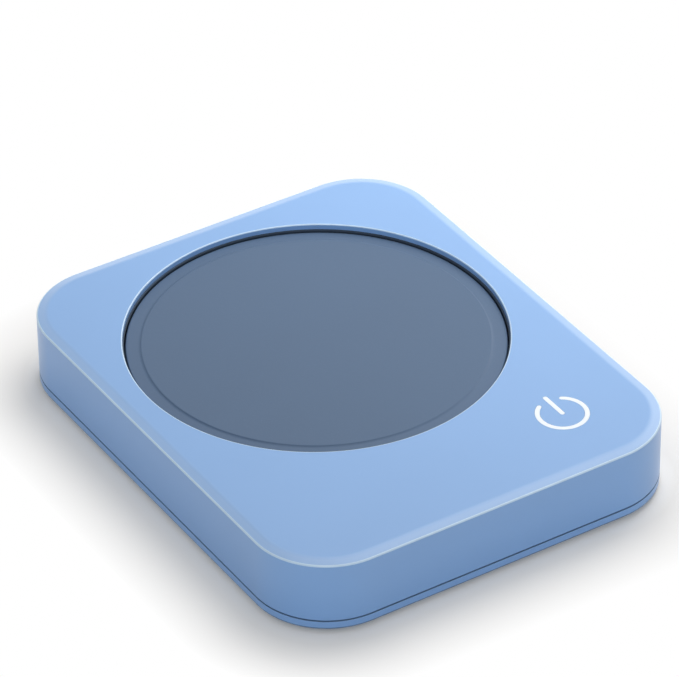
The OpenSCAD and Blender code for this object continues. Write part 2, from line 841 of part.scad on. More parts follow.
module mains_terminal() {
    color("green") difference() {
        block(terminal_pos, terminal_size, board_top_z);
        for (s = [-1, 1]) translate([terminal_pos.x + s * 2.5, terminal_pos.y, 0])
            disc(1.6, board_top_z + terminal_size.z - 1.5, board_top_z + terminal_size.z + 1);
        for (s = [-1, 1])
            translate([terminal_pos.x + s * 2.5, terminal_pos.y, board_top_z + 2.4])
                rotate([-90, 0, 0]) cylinder(r = 1.2, h = terminal_size.y);
    }
}

module board_fuse() {
    z = board_top_z + board_fuse_r + 0.3;
    color("gainsboro") {
        along_x(board_fuse_pos, z, board_fuse_r - 0.2, board_fuse_l);
        for (s = [-1, 1]) {
            cap = board_fuse_pos + [s * (board_fuse_l / 2 - 1), 0];
            along_x(cap, z, board_fuse_r, 2);
            block(cap, [0.8, 2, board_fuse_r], board_top_z);
        }
    }
}

module plate_connector() {
    color("ivory") block(connector_pos, connector_size, board_top_z);
}

// ---- Leads

// Where a lead enters the connector
function lead_end(i) = [pin_x[i], lead_end_y, lead_end_z];

// The foot of a heater tab, from which a lead hangs
function tab_foot(side) = [side * tab_x, tab_y + tab_t / 2, pad_z - lead_gap];

// The end of the thermal fuse's tail on one side
function fuse_end(side) = [
    fuse_pos.x + side * (fuse_l / 2 + fuse_tail + lead_gap), well_y + fuse_pos.y, clamp_z - fuse_r
];

// A point part of the way between two places in plan, at a height of its own
function part_way(a, b, share, z) = [
    a.x + (b.x - a.x) * share, a.y + (b.y - a.y) * share, z
];

module heater_lead_left() {
    start = tab_foot(-1);
    end = lead_end(0);
    color("firebrick") wire(route([
        start, start - [0, 0, lead_drop], part_way(start, end, 0.1, lead_low_z + 0.2),
        part_way(start, end, 0.5, lead_low_z), part_way(start, end, 0.88, end.z), end
    ], 5), lead_r);
}

// From the heater's right tab to the thermal fuse
module heater_lead_right() {
    start = tab_foot(1);
    end = fuse_end(-1);
    color("firebrick") wire(route([
        start, start - [0, 0, lead_drop], [start.x, start.y + lead_turn, end.z + 0.4],
        [start.x, (start.y + end.y) / 2, end.z],
        [end.x - lead_turn - 0.2, end.y - lead_turn, end.z],
        [end.x - lead_turn / 2, end.y - 0.2, end.z], end
    ], 5), lead_r);
}

module fuse_lead() {
    start = fuse_end(1);
    end = lead_end(5);
    bulge = [lead_turn, 0, 0];
    color("firebrick") wire(route([
        start, start + [lead_turn, -0.5, 0], part_way(start, end, 0.1, start.z) + 2.2 * bulge,
        part_way(start, end, 0.33, start.z) + 3 * bulge, part_way(start, end, 0.7, lead_low_z) + bulge,
        end + [0, 2 * lead_turn, 0], end
    ], 5), lead_r);
}

module sensor_leads() {
    under = clamp_z - lead_under;
    color("black") for (i = [0, 1]) {
        side = i * lead_pitch;
        start = [sensor_pos.x + (2 * i - 1) * 0.7, sensor_pos.y, pad_z - lead_gap];
        pass = [spring_pass + side, well_y - spring_ring_r];
        end = lead_end(3 + i);
        wire(route([
            start, start - [0, 0, clamp_t + 0.7],
            [start.x + 0.2, start.y - lead_turn / 2, clamp_z - lead_turn],
            part_way(start, pass, 0.3, under), [pass.x, pass.y + lead_turn, under],
            [pass.x, pass.y - lead_turn, under], part_way(pass, end, 0.5, end.z),
            part_way(pass, end, 0.93, end.z), end
        ], 4), thin_lead_r, 6);
    }
}

module switch_leads() {
    z = blade_z + blade_t / 2;
    color("dimgray") for (i = [0, 1]) {
        side = (1 - i) * lead_pitch;
        start = [blade_x[i], well_y - switch_size.y / 2 - blade_l - lead_gap, z];
        pass = [-spring_pass - side, well_y - spring_ring_r];
        end = lead_end(1 + i);
        wire(route([
            start, start - [0, lead_turn, 0], [pass.x, pass.y + 2 * lead_turn, z],
            [pass.x, pass.y - lead_turn, z], part_way(pass, end, 0.5, (z + end.z) / 2),
            part_way(pass, end, 0.9, end.z), end
        ], 5), thin_lead_r, 6);
    }
}

// ---- Cord bush in the back wall

module cord_bush() {
    color("dimgray") translate([bush_x, 0, bush_z]) rotate([-90, 0, 0]) difference() {
        union() {
            translate([0, 0, bush_outer_y]) cylinder(r = bush_flange_r, h = bush_flange_t);
            translate([0, 0, bush_end_y]) cylinder(r = bush_neck_r, h = bush_outer_y - bush_end_y + eps);
            for (y = [bush_inner_y - bush_flange_t, bush_end_y])
                translate([0, 0, y]) cylinder(r = bush_flange_r, h = bush_flange_t);
        }
        cylinder(r = cord_bore_r, h = body_d);
    }
}

module bush_fork() {
    color("gray") difference() {
        translate([bush_x - fork_w / 2, fork_y - fork_t / 2, floor_z]) cube([fork_w, fork_t, fork_h]);
        translate([bush_x, fork_y - fork_t, bush_z]) rotate([-90, 0, 0])
            cylinder(r = bush_neck_r + 0.05, h = 2 * fork_t);
        translate([bush_x - bush_neck_r - 0.05, fork_y - fork_t, bush_z])
            cube([2 * (bush_neck_r + 0.05), 2 * fork_t, fork_h]);
    }
}

top_cover();
base_tray();
power_mark();
mark_led();
touch_spring();
heating_plate();
plate_seal();
heating_element();
insulation_pad();
clamp_plate();
clamp_screws();
temperature_sensor();
thermal_fuse();
fuse_clip();
fuse_clip_screw();
plate_spring(0);  // plate_spring_left
plate_spring(1);  // plate_spring_right
plate_spring(2);  // plate_spring_front
weight_switch();
switch_plunger();
switch_terminals();
heat_shield();
control_board();
board_screws();
controller_chip();
power_relay();
power_converter();
smoothing_capacitor();
mains_terminal();
board_fuse();
plate_connector();
heater_lead_left();
heater_lead_right();
fuse_lead();
sensor_leads();
switch_leads();
housing_screws();
foot(-1, -1);  // foot_front_left
foot(1, -1);  // foot_front_right
foot(-1, 1);  // foot_back_left
foot(1, 1);  // foot_back_right
cord_bush();
bush_fork();
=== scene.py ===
"""An electric mug warmer, dressed piece by piece around its construction model.

Each piece, or group of like pieces, has an operator. The panel in the 3D view's sidebar lists
them with the sizes and colours that they read. Lengths are in metres.
"""

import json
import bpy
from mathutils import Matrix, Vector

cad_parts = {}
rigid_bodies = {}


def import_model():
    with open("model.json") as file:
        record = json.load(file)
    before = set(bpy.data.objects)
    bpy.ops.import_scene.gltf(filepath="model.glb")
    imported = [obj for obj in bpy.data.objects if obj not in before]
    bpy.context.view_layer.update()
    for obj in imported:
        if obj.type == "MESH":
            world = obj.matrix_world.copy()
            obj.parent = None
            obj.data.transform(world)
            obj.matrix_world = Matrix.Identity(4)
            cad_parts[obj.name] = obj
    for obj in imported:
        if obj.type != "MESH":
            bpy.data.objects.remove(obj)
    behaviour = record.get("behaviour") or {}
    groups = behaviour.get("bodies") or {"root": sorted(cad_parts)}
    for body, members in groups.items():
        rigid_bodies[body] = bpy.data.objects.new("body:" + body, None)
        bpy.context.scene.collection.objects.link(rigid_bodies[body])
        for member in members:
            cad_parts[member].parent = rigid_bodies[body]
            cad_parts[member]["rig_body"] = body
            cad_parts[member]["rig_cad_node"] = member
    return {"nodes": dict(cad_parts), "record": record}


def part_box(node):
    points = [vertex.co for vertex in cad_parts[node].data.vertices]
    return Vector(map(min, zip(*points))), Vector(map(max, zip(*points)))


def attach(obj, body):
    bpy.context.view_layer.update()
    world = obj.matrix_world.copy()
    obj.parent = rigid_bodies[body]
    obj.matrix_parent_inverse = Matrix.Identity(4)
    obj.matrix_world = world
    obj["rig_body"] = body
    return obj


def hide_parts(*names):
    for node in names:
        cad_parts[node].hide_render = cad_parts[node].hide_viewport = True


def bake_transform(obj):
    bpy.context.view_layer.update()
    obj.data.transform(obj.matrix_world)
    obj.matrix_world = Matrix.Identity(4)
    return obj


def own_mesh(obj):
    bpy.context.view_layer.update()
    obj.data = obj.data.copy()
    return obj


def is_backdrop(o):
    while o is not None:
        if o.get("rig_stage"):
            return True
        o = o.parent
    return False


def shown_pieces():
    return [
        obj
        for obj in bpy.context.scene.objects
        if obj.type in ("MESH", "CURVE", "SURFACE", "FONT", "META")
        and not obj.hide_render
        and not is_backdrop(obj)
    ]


bl_info = {
    "name": "Mug Warmer Bench",
    "version": (1, 0, 0),
    "blender": (4, 5, 0),
    "location": "View3D > Sidebar > Mug Warmer",
    "description": "Models the covers, heating plate, controls and insides of a mug warmer",
    "category": "Object",
}

from math import cos, pi, radians, sin, tan

import bpy
from bpy.props import FloatProperty, FloatVectorProperty, IntProperty, PointerProperty
from mathutils import Matrix, Vector

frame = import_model()

MM = 0.001
NEAR = 1e-6


class Place:
    """Where a node of the construction model lies."""

    def __init__(self, node):
        self.low, self.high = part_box(node)
        self.middle = (self.low + self.high) / 2
        self.size = self.high - self.low


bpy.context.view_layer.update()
COVER = Place("top_cover")
TRAY = Place("base_tray")
PLATE = Place("heating_plate")
SEAL = Place("plate_seal")
GUIDE = Place("power_mark")
PAD = Place("insulation_pad")
BUSH = Place("cord_bush")
BOARD = Place("control_board")
WELL = Vector((PAD.middle.x, PAD.middle.y, 0))
SLOT_OF = {part["node"]: part["material_slot"] for part in frame["record"]["subparts"]}
COLOUR_OF = {slot["slot"]: slot["base_color"] for slot in frame["record"]["materials"]}
FEET = ["foot_front_left", "foot_front_right", "foot_back_left", "foot_back_right"]

# Angles around the well in degrees, and the radii of the screws' heads
SPRING_ANGLES = {"plate_spring_left": 150, "plate_spring_right": 30, "plate_spring_front": 270}
SCREW_ANGLES = (90, 210, 330)
LUG_ANGLES = (90, 220, 320)
STOP_ANGLES = (0, 120, 240)
HOUSING_HEAD = 2.7 * MM
SMALL_HEAD = 2.1 * MM

# The corner of a slot with round ends, as a share of half its width. A whole share would leave
# faces of no size.
ROUND = 0.999


# ---- Sizes and colours


def length(name, description, default):
    """A length that the user may change."""
    return FloatProperty(name=name, description=description, default=default, min=0,
                         subtype="DISTANCE", unit="LENGTH", precision=5)


def angle(name, description, degrees):
    """An angle that the user may change."""
    return FloatProperty(name=name, description=description, default=radians(degrees),
                         subtype="ANGLE", unit="ROTATION")


def brightness(name, description, default):
    """A strength of light that the user may change."""
    return FloatProperty(name=name, description=description, default=default, min=0)


def colour(name, description, slot):
    """A colour that the user may change, which starts as the record's colour for a slot."""
    return FloatVectorProperty(name=name, description=description, default=COLOUR_OF[slot],
                               size=3, min=0, max=1, subtype="COLOR")


class HousingSizes(bpy.types.PropertyGroup):
    """Sizes of the top cover and the base tray."""

    corner: length("Corner", "Radius of the corners in plan", 18.5 * MM)
    wall: length("Wall", "Wall of the top cover", 2.2 * MM)
    top: length("Top", "Thickness of the cover's flat top", 2.2 * MM)
    floor: length("Floor", "Thickness of the tray's floor", 1.8 * MM)
    rim: length("Rim", "Width of the sloped rim around the top", 2 * MM)
    rim_slope: angle("Rim slope", "Slope of the rim", 13)
    rim_blend: length("Rim blend", "Radius between the rim and the flat top", 4 * MM)
    rim_edge: length("Rim edge", "Radius of the crisp outer edge", 0.4 * MM)
    seam: length("Seam", "Shadow gap between cover and tray", 0.3 * MM)
    seam_edge: length("Seam edge", "Rounding of the two edges at the seam", 0.12 * MM)
    tray_edge: length("Tray edge", "Radius of the tray's lower edge", 0.7 * MM)
    lip_inset: length("Lip inset", "Distance of the tray's lip from the outside", 2.35 * MM)
    lip_height: length("Lip height", "Height of the tray's lip above the seam", 2.8 * MM)
    lip_wall: length("Lip wall", "Wall of the tray's lip", 1.5 * MM)
    post: length("Post", "Radius of a screw post in the cover", 3.3 * MM)
    pillar: length("Pillar", "Radius of a screw pillar in the tray", 4 * MM)
    joint: length("Joint", "Height of the screw pillars over the tray's floor", 3.4 * MM)
    corner_steps: IntProperty(name="Corner steps", description="Faces around each corner",
                              default=32, min=8, max=64)


class PlateSizes(bpy.types.PropertyGroup):
    """Sizes of the well and of the heating plate."""

    well: length("Well", "Radius of the well", 45 * MM)
    seat: length("Seat", "Inner radius of the collar under the well's lip", 45.5 * MM)
    collar: length("Collar", "Wall of the collar", 1.6 * MM)
    lip: length("Lip", "Height of the lip around the well", 1.4 * MM)
    mouth: length("Mouth", "Rounding of the well's mouth", 0.3 * MM)
    disc: length("Disc", "Thickness of the plate's disc", 2.4 * MM)
    height: length("Height", "Height of the plate with its skirt", 5.3 * MM)
    skirt: length("Skirt", "Wall of the plate's skirt", 2.2 * MM)
    border: length("Border", "Width of the low border around the land", 3 * MM)
    land: length("Land", "Height of the raised land", 0.3 * MM)
    lug_width: length("Lug width", "Width of a retaining lug", 16 * MM)
    lug_reach: length("Lug reach", "How far a lug stands out of the skirt", 3 * MM)
    lug_height: length("Lug height", "Thickness of a lug", 1.4 * MM)
    boss: length("Boss", "Radius of a screw boss", 3 * MM)
    screw_ring: length("Screw ring", "Radius of the circle of clamp screws", 9.4 * MM)
    spring_ring: length("Spring ring", "Radius of the circle of springs", 24 * MM)
    stop_ring: length("Stop ring", "Radius of the circle of stop posts", 30.5 * MM)
    travel: length("Travel", "How far the plate sinks under a mug", 0.8 * MM)


class MarkSizes(bpy.types.PropertyGroup):
    """Sizes of the power mark and its light guide."""

    ring: length("Ring", "Mean radius of the mark's ring", 5.7 * MM)
    line: length("Line", "Width of the mark's lines", 1.1 * MM)
    bar: length("Bar", "Length of the mark's bar", 6.8 * MM)
    base: length("Base", "Thickness of the guide's base", 1.2 * MM)
    opening: angle("Opening", "Half of the angle left open in the ring", 33)


class StageSettings(bpy.types.PropertyGroup):
    """Camera and light."""

    azimuth: angle("Azimuth", "Direction of the camera, from the front", -32.135)
    elevation: angle("Elevation", "Height of the camera over the table", 35.814)
    roll: angle("Roll", "How far the camera is turned about its view", -0.65)
    distance: length("Distance", "Distance of the camera", 1.12073)
    lens: FloatProperty(name="Lens", description="Focal length in millimetres", default=258.2,
                        unit="CAMERA")
    ambient: brightness("Ambient", "Strength of the light all around", 0.29)
    key: FloatProperty(name="Key", description="Power of the softbox behind on the right, in watts",
                       default=1.22, unit="POWER")
    front: brightness("Front", "Strength of the low light from the front", 0.76)
    sheen: brightness("Sheen", "Strength of the lights that the rim reflects", 1)


class Colours(bpy.types.PropertyGroup):
    """Colours of the outer pieces."""

    cover: colour("Cover", "Moulded cover and tray", "cover_plastic")
    plate: colour("Plate", "Coated heating plate", "plate_enamel")
    mark: colour("Mark", "Light guide of the power mark", "light_guide")


# ---- Modelling


def leave_all():
    """Back to object mode, with nothing selected."""
    if bpy.context.mode != "OBJECT":
        bpy.ops.object.mode_set(mode="OBJECT")
    bpy.ops.object.select_all(action="DESELECT")


def only(piece):
    """Make one object the selected and active one."""
    leave_all()
    piece.select_set(True)
    bpy.context.view_layer.objects.active = piece


def new_piece(name):
    """Name the primitive that was just added, and put its place into its mesh."""
    piece = bpy.context.object
    piece.name = name
    only(piece)
    bpy.ops.object.transform_apply(location=True, rotation=True, scale=True)
    return piece


def pick_faces(piece, test):
    """Enter edit mode with the faces selected whose middle and normal pass a test."""
    pick(piece, "FACE", [test(face.center, face.normal) for face in piece.data.polygons])


def pick_edges(piece, test):
    """Enter edit mode with the edges selected whose two ends pass a test."""
    points = piece.data.vertices
    pick(piece, "EDGE", [test(*(points[i].co for i in edge.vertices)) for edge in piece.data.edges])


def pick(piece, kind, chosen):
    """Enter edit mode with some of the faces or edges selected."""
    only(piece)
    bpy.ops.object.mode_set(mode="EDIT")
    bpy.ops.mesh.select_mode(type=kind)
    bpy.ops.mesh.select_all(action="DESELECT")
    bpy.ops.object.mode_set(mode="OBJECT")
    elements = piece.data.polygons if kind == "FACE" else piece.data.edges
    elements.foreach_set("select", chosen)
    bpy.ops.object.mode_set(mode="EDIT")


def edit_all(piece):
    """Enter edit mode with the whole mesh selected."""
    only(piece)
    bpy.ops.object.mode_set(mode="EDIT")
    bpy.ops.mesh.select_all(action="SELECT")


def tidy_mesh(piece):
    """Merge doubles and turn all faces outwards."""
    edit_all(piece)
    bpy.ops.mesh.remove_doubles(threshold=NEAR)
    bpy.ops.mesh.normals_make_consistent(inside=False)
    leave_all()


def box(name, low, high):
    """A plain block between two corners."""
    low, high = Vector(low), Vector(high)
    leave_all()
    bpy.ops.mesh.primitive_cube_add(size=1, location=(low + high) / 2)
    bpy.context.object.scale = high - low
    return new_piece(name)


def slab(name, size, corner, low, high, steps=None, middle=(0, 0)):
    """A block with rounded upright edges, around a middle in plan."""
    piece = box(name, (-size.x / 2, -size.y / 2, low), (size.x / 2, size.y / 2, high))
    pick_edges(piece, lambda a, b: abs(a.z - b.z) > MM / 10)
    steps = steps or bpy.context.scene.warmer_housing.corner_steps
    bpy.ops.mesh.bevel(offset=corner, segments=steps, affect="EDGES")
    leave_all()
    return moved(piece, middle)


def moved(piece, middle):
    """Move a piece's mesh in plan."""
    piece.data.transform(Matrix.Translation((middle[0], middle[1], 0)))
    return piece


def rod(name, middle, radius, low, high, steps=64):
    """An upright cylinder."""
    leave_all()
    bpy.ops.mesh.primitive_cylinder_add(vertices=steps, radius=radius, depth=high - low,
                                        location=(middle[0], middle[1], (low + high) / 2))
    return new_piece(name)


def arc(centre, radius, start, end, steps):
    """Points along an arc of a section, with angles in degrees."""
    angles = [radians(start + (end - start) * i / steps) for i in range(steps + 1)]
    return [(centre[0] + radius * cos(a), centre[1] + radius * sin(a)) for a in angles]


def chamfered(radius, low, high, edge):
    """The outside of a turned section, with a chamfer at both ends."""
    return [(radius - edge, low), (radius, low + edge), (radius, high - edge),
            (radius - edge, high)]


def inwards(width, points):
    """A section's points as (inset, height), where the inset is 0 at x = width."""
    return [(width - x, z) for x, z in points]


def turned(name, outline, middle=(0, 0), steps=96, start=0, angle=2 * pi):
    """Spin an outline of (radius, height) points around an upright axis.

    A full turn of an outline that starts and ends on the axis, or runs back to its first point,
    is closed. A part turn is closed by the outline's own face at each end. It runs anticlockwise,
    which is a negative angle to the spin."""
    leave_all()
    bpy.ops.mesh.primitive_plane_add(size=MM)
    piece = bpy.context.object
    bpy.ops.object.mode_set(mode="EDIT")
    bpy.ops.mesh.select_mode(type="VERT")
    bpy.ops.mesh.select_all(action="SELECT")
    bpy.ops.mesh.merge(type="CENTER")
    at = Vector((0, 0, 0))
    for i, (radius, height) in enumerate(outline):
        point = Vector((radius, 0, height))
        if i == 0:
            bpy.ops.transform.translate(value=point - at)
        else:
            bpy.ops.mesh.extrude_region_move(TRANSFORM_OT_translate={"value": point - at})
        at = point
    bpy.ops.mesh.select_all(action="SELECT")
    if angle < 2 * pi:
        bpy.ops.mesh.edge_face_add()
        bpy.ops.mesh.select_all(action="SELECT")
    bpy.ops.mesh.spin(steps=steps, angle=-angle, center=(0, 0, 0), axis=(0, 0, 1))
    leave_all()
    piece.rotation_euler.z = start
    piece.location = (middle[0], middle[1], 0)
    bpy.context.view_layer.objects.active = piece
    piece = new_piece(name)
    tidy_mesh(piece)
    return piece


def through(piece, section, side=1):
    """Carry the flat end of a slab through a section of (inset, height) points."""
    end = section[0][1]
    pick_faces(piece, lambda middle, normal: side * normal.z > 0.9 and abs(middle.z - end) < NEAR)
    for (near, low), (far, high) in zip(section, section[1:]):
        bpy.ops.mesh.inset(thickness=far - near, depth=side * (high - low))
    leave_all()


def modify(piece, kind, **settings):
    """Give a piece a modifier with its settings, and apply it."""
    only(piece)
    step = piece.modifiers.new(kind.title(), kind)
    for name, setting in settings.items():
        setattr(step, name, setting)
    bpy.ops.object.modifier_apply(modifier=step.name)


def boolean(piece, tools, operation):
    """Cut tools out of a piece, or add them to it. The tools are used up."""
    for tool in tools:
        modify(piece, "BOOLEAN", operation=operation, object=tool, solver="EXACT")
        bpy.data.objects.remove(tool)


def cut(piece, *tools):
    """Take tools out of a piece."""
    boolean(piece, tools, "DIFFERENCE")


def add(piece, *tools):
    """Join tools to a piece."""
    boolean(piece, tools, "UNION")


def soft_edges(piece, width, segments=2, angle=40):
    """Round every edge that is sharper than an angle."""
    modify(piece, "BEVEL", width=width, segments=segments, limit_method="ANGLE",
           angle_limit=radians(angle))


def smooth(piece, angle=35):
    """Shade smooth, with crisp edges above an angle and flat faces kept flat."""
    only(piece)
    bpy.ops.object.shade_smooth_by_angle(angle=radians(angle))
    modify(piece, "WEIGHTED_NORMAL", keep_sharp=True)


def lie_along(piece, axis, middle):
    """Lay an upright piece along X or Y, through a point."""
    turn = Matrix.Rotation(pi / 2, 4, "Y") if axis == "X" else Matrix.Rotation(-pi / 2, 4, "X")
    piece.data.transform(Matrix.Translation(middle) @ turn)
    return piece


def duplicate(piece, name, shift):
    """A copy with its own mesh, moved in plan."""
    only(piece)
    bpy.ops.object.duplicate()
    copy = bpy.context.object
    copy.location = shift
    return new_piece(name)


def join(name, pieces):
    """Join separate solids into one object."""
    only(pieces[0])
    for piece in pieces[1:]:
        piece.select_set(True)
    bpy.ops.object.join()
    return new_piece(name)


def copied(node, name):
    """A plain copy of a construction solid."""
    mesh = frame["nodes"][node].data.copy()
    mesh.materials.clear()
    piece = bpy.data.objects.new(name, mesh)
    bpy.context.scene.collection.objects.link(piece)
    return piece


def softened(node, edge):
    """A construction solid with whole faces and rounded edges."""
    piece = copied(node, node + "_soft")
    edit_all(piece)
    bpy.ops.mesh.remove_doubles(threshold=NEAR)
    bpy.ops.mesh.dissolve_limited(angle_limit=radians(0.5))
    soft_edges(piece, edge)
    dress(piece, node)


def helix(name, middle, radius, wire, turns, low, high):
    """An upright coil of round wire."""
    leave_all()
    bpy.ops.mesh.primitive_circle_add(vertices=12, radius=wire / 2, rotation=(pi / 2, 0, 0),
                                      location=(radius, 0, low + wire / 2))
    piece = new_piece(name)
    modify(piece, "SCREW", iterations=turns, steps=28, render_steps=28,
           screw_offset=(high - low - wire) / turns)
    edit_all(piece)
    bpy.ops.mesh.fill_holes(sides=0)
    tidy_mesh(piece)
    return moved(piece, middle)


def screw(name, radius, head, height, shank):
    """A pan head screw that points up from the origin, with ridges and a cross recess."""
    pitch, core, crown = 0.6 * MM, 0.78 * radius, 0.6 * height
    plain, tip, edge = 0.5 * MM, 0.9 * MM, 0.1 * MM
    ridges = []
    for i in range(int((shank - plain - tip) / pitch)):
        start = plain + i * pitch
        ridges += [(core, start), (radius, start + 0.5 * pitch), (core, start + 0.8 * pitch)]
    piece = turned(name, [
        (0, -height), *arc((head - crown, crown - height), crown, -90, 0, 5), (head, -edge),
        (head - edge, 0), (core, 0), *ridges, (core, shank - tip), (0.3 * radius, shank),
        (0, shank)], steps=32)
    arm, width, depth = 0.6 * head, 0.13 * head, 0.55 * height
    cut(piece, box("slot", (-arm, -width, -height - MM), (arm, width, depth - height)),
        box("slot", (-width, -arm, -height - MM), (width, arm, depth - height)))
    return piece


def repeated(name, piece, places):
    """Copies of a piece at several places, joined into one object."""
    copies = [duplicate(piece, name, Vector(place)) for place in places]
    bpy.data.objects.remove(piece)
    return join(name, copies) if len(copies) > 1 else copies[0]


def dress(piece, node, angle=35, rides=True):
    """Smooth a piece and let it stand for a node: it takes the node's body, slot and finish."""
    smooth(piece, angle)
    if rides:
        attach(piece, frame["nodes"][node]["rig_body"])
    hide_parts(node)
    finish(piece, SLOT_OF[node])


def finish(piece, slot):
    """Give a piece the slot's material alone."""
    piece.data.materials.clear()
    piece.data.materials.append(finish_for(slot))


# ---- Materials

# Follows the slot in a material's name, as the construction model's materials have the bare names
FINISH = "_finish"


class Signal:
    """A value inside a material. Operators on it add the Math nodes that they stand for."""

    def __init__(self, maker, socket):
        self.maker = maker
        self.socket = socket

    def math(self, operation, *others):
        """A Math node on this value and others."""
        return self.maker.math(operation, self, *others)

    def __add__(self, other):
        return self.math("ADD", other)

    __radd__ = __add__

    def __sub__(self, other):
        return self.math("SUBTRACT", other)

    def __rsub__(self, other):
        return self.maker.math("SUBTRACT", other, self)

    def __mul__(self, other):
        return self.math("MULTIPLY", other)

    __rmul__ = __mul__

    def __gt__(self, other):
        return self.math("GREATER_THAN", other)

    def __lt__(self, other):
        return self.math("LESS_THAN", other)


class Finish:
    """A node tree that is built from expressions."""

    def __init__(self, tree):
        self.tree = tree
        self.tree.nodes.clear()
        self.shader = None

    def node(self, kind, settings=None, values=None, output=0):
        """Add a node. Its settings come first, then the values or links of its sockets."""
        made = self.tree.nodes.new(kind)
        for name, setting in (settings or {}).items():
            setattr(made, name, setting)
        for name, value in (values or {}).items():
            self.feed(made.inputs[name], value)
        return Signal(self, made.outputs[output]) if made.outputs else made

    def feed(self, socket, value):
        """Link a signal to a socket, or set the socket's own value."""
        if isinstance(value, Signal):
            self.tree.links.new(value.socket, socket)
        else:
            socket.default_value = value

    def set(self, name, value):
        """Feed an input of the material's shader."""
        self.feed(self.shader.inputs[name], value)

    def now(self, name):
        """What feeds an input of the material's shader so far."""
        return Signal(self, self.shader.inputs[name].links[0].from_socket)

    def math(self, operation, *values):
        """A Math node."""
        return self.node("ShaderNodeMath", {"operation": operation}, dict(enumerate(values)))

    def seen(self):
        """1 for the rays that show the surroundings, in the open, in gloss or through glass."""
        path = self.node("ShaderNodeLightPath").socket.node
        camera, gloss, glass = (Signal(self, path.outputs[name]) for name in (
            "Is Camera Ray", "Is Glossy Ray", "Is Transmission Ray"))
        return camera.math("MAXIMUM", gloss).math("MAXIMUM", glass)

    def place(self, stretch=(1, 1, 1)):
        """Object coordinates, stretched along the axes."""
        at = self.node("ShaderNodeTexCoord", output="Object")
        return self.node("ShaderNodeMapping", values={"Vector": at, "Scale": stretch})

    def noise(self, at, grain, detail=2.0):
        """Noise from 0 to 1 whose features are about as large as grain, in metres."""
        return self.node("ShaderNodeTexNoise",
                         values={"Vector": at, "Scale": 0.5 / grain, "Detail": detail})

    def mix(self, first, second, share):
        """A colour between two others."""
        made = self.tree.nodes.new("ShaderNodeMix")
        made.data_type = "RGBA"
        for socket, value in ((0, share), (6, first), (7, second)):
            self.feed(made.inputs[socket], value)
        return Signal(self, made.outputs[2])

    def tint(self, rgb, low, high, share):
        """Between a darker and a lighter shade of a colour."""
        return self.mix(shade(rgb, low), shade(rgb, high), share)

    def coordinates(self):
        """The three Object coordinates, each on its own."""
        at = self.node("ShaderNodeTexCoord", output="Object")
        made = self.node("ShaderNodeSeparateXYZ", values={"Vector": at}).socket.node
        return [Signal(self, made.outputs[axis]) for axis in "XYZ"]

    def beyond_outline(self, x, y):
        """Distance outside the housing's outline in plan, negative inside it."""
        corner = bpy.context.scene.warmer_housing.corner
        past = []
        for value, half in ((x, COVER.size.x / 2), (y, COVER.size.y / 2)):
            past.append((value.math("ABSOLUTE") - (half - corner)).math("MAXIMUM", 0))
        return (past[0] * past[0] + past[1] * past[1]).math("SQRT") - corner

    def ramp(self, value, start, end):
        """0 up to the start, 1 from the end on, and even in between."""
        return self.node("ShaderNodeMapRange",
                         values={"Value": value, "From Min": start, "From Max": end})

    def bump(self, height, depth):
        """Relief of a depth in metres."""
        return self.node("ShaderNodeBump", values={"Height": height, "Distance": depth})


def shade(rgb, factor):
    """A colour made lighter or darker."""
    return tuple(min(1.0, part * factor) for part in rgb) + (1.0,)


def surface(slot, roughness, metallic=0.0, specular=0.5):
    """A new material with a Principled shader. Returns what feeds that shader."""
    material = bpy.data.materials.new(slot + FINISH)
    material.use_nodes = True
    maker = Finish(material.node_tree)
    shader = maker.node("ShaderNodeBsdfPrincipled")
    maker.node("ShaderNodeOutputMaterial", values={"Surface": shader})
    maker.shader = shader.socket.node
    maker.set("Roughness", roughness)
    maker.set("Metallic", metallic)
    maker.set("Specular IOR Level", specular)
    return maker


def moulded(slot, rgb, roughness, grain, depth, variety=0.03, specular=0.5):
    """Moulded plastic or rubber: fine spark-eroded grain, and slight clouds in colour and gloss."""
    maker = surface(slot, roughness, specular=specular)
    at = maker.place()
    fine = maker.noise(at, grain)
    cloud = maker.noise(at, 14 * MM, 3.0)
    maker.set("Base Color", maker.tint(rgb, 1 - variety, 1 + variety, cloud))
    maker.set("Roughness", roughness + 0.05 * (cloud - 0.5) + 0.06 * (fine - 0.5))
    maker.set("Normal", maker.bump(fine, depth))
    return maker


def metal(slot, roughness, stretch):
    """Drawn, rolled or plated metal: streaks along the work's direction."""
    rgb = COLOUR_OF[slot]
    maker = surface(slot, roughness, metallic=1.0)
    streaks = maker.noise(maker.place(stretch), 0.25 * MM, 3.0)
    cloud = maker.noise(maker.place(), 5 * MM, 3.0)
    maker.set("Base Color", maker.tint(rgb, 0.9, 1.08, cloud))
    maker.set("Roughness", roughness + 0.2 * (streaks - 0.5))
    maker.set("Normal", maker.bump(streaks, 0.003 * MM))


def fibrous(slot, grain, depth):
    """Felt or woven sleeve: soft fibres with darker hollows between them."""
    rgb = COLOUR_OF[slot]
    maker = surface(slot, 0.9, specular=0.2)
    fibres = maker.noise(maker.place(), grain, 4.0)
    maker.set("Base Color", maker.tint(rgb, 0.8, 1.1, fibres))
    maker.set("Normal", maker.bump(fibres, depth))


def crest_height(s):
    """Where the cover's upright wall ends and its crisp upper edge begins."""
    drop = (s.rim - s.rim_edge * (1 - sin(s.rim_slope))) * tan(s.rim_slope)
    drop += s.rim_blend * (1 - cos(s.rim_slope)) + s.rim_edge * cos(s.rim_slope)
    return COVER.high.z - drop


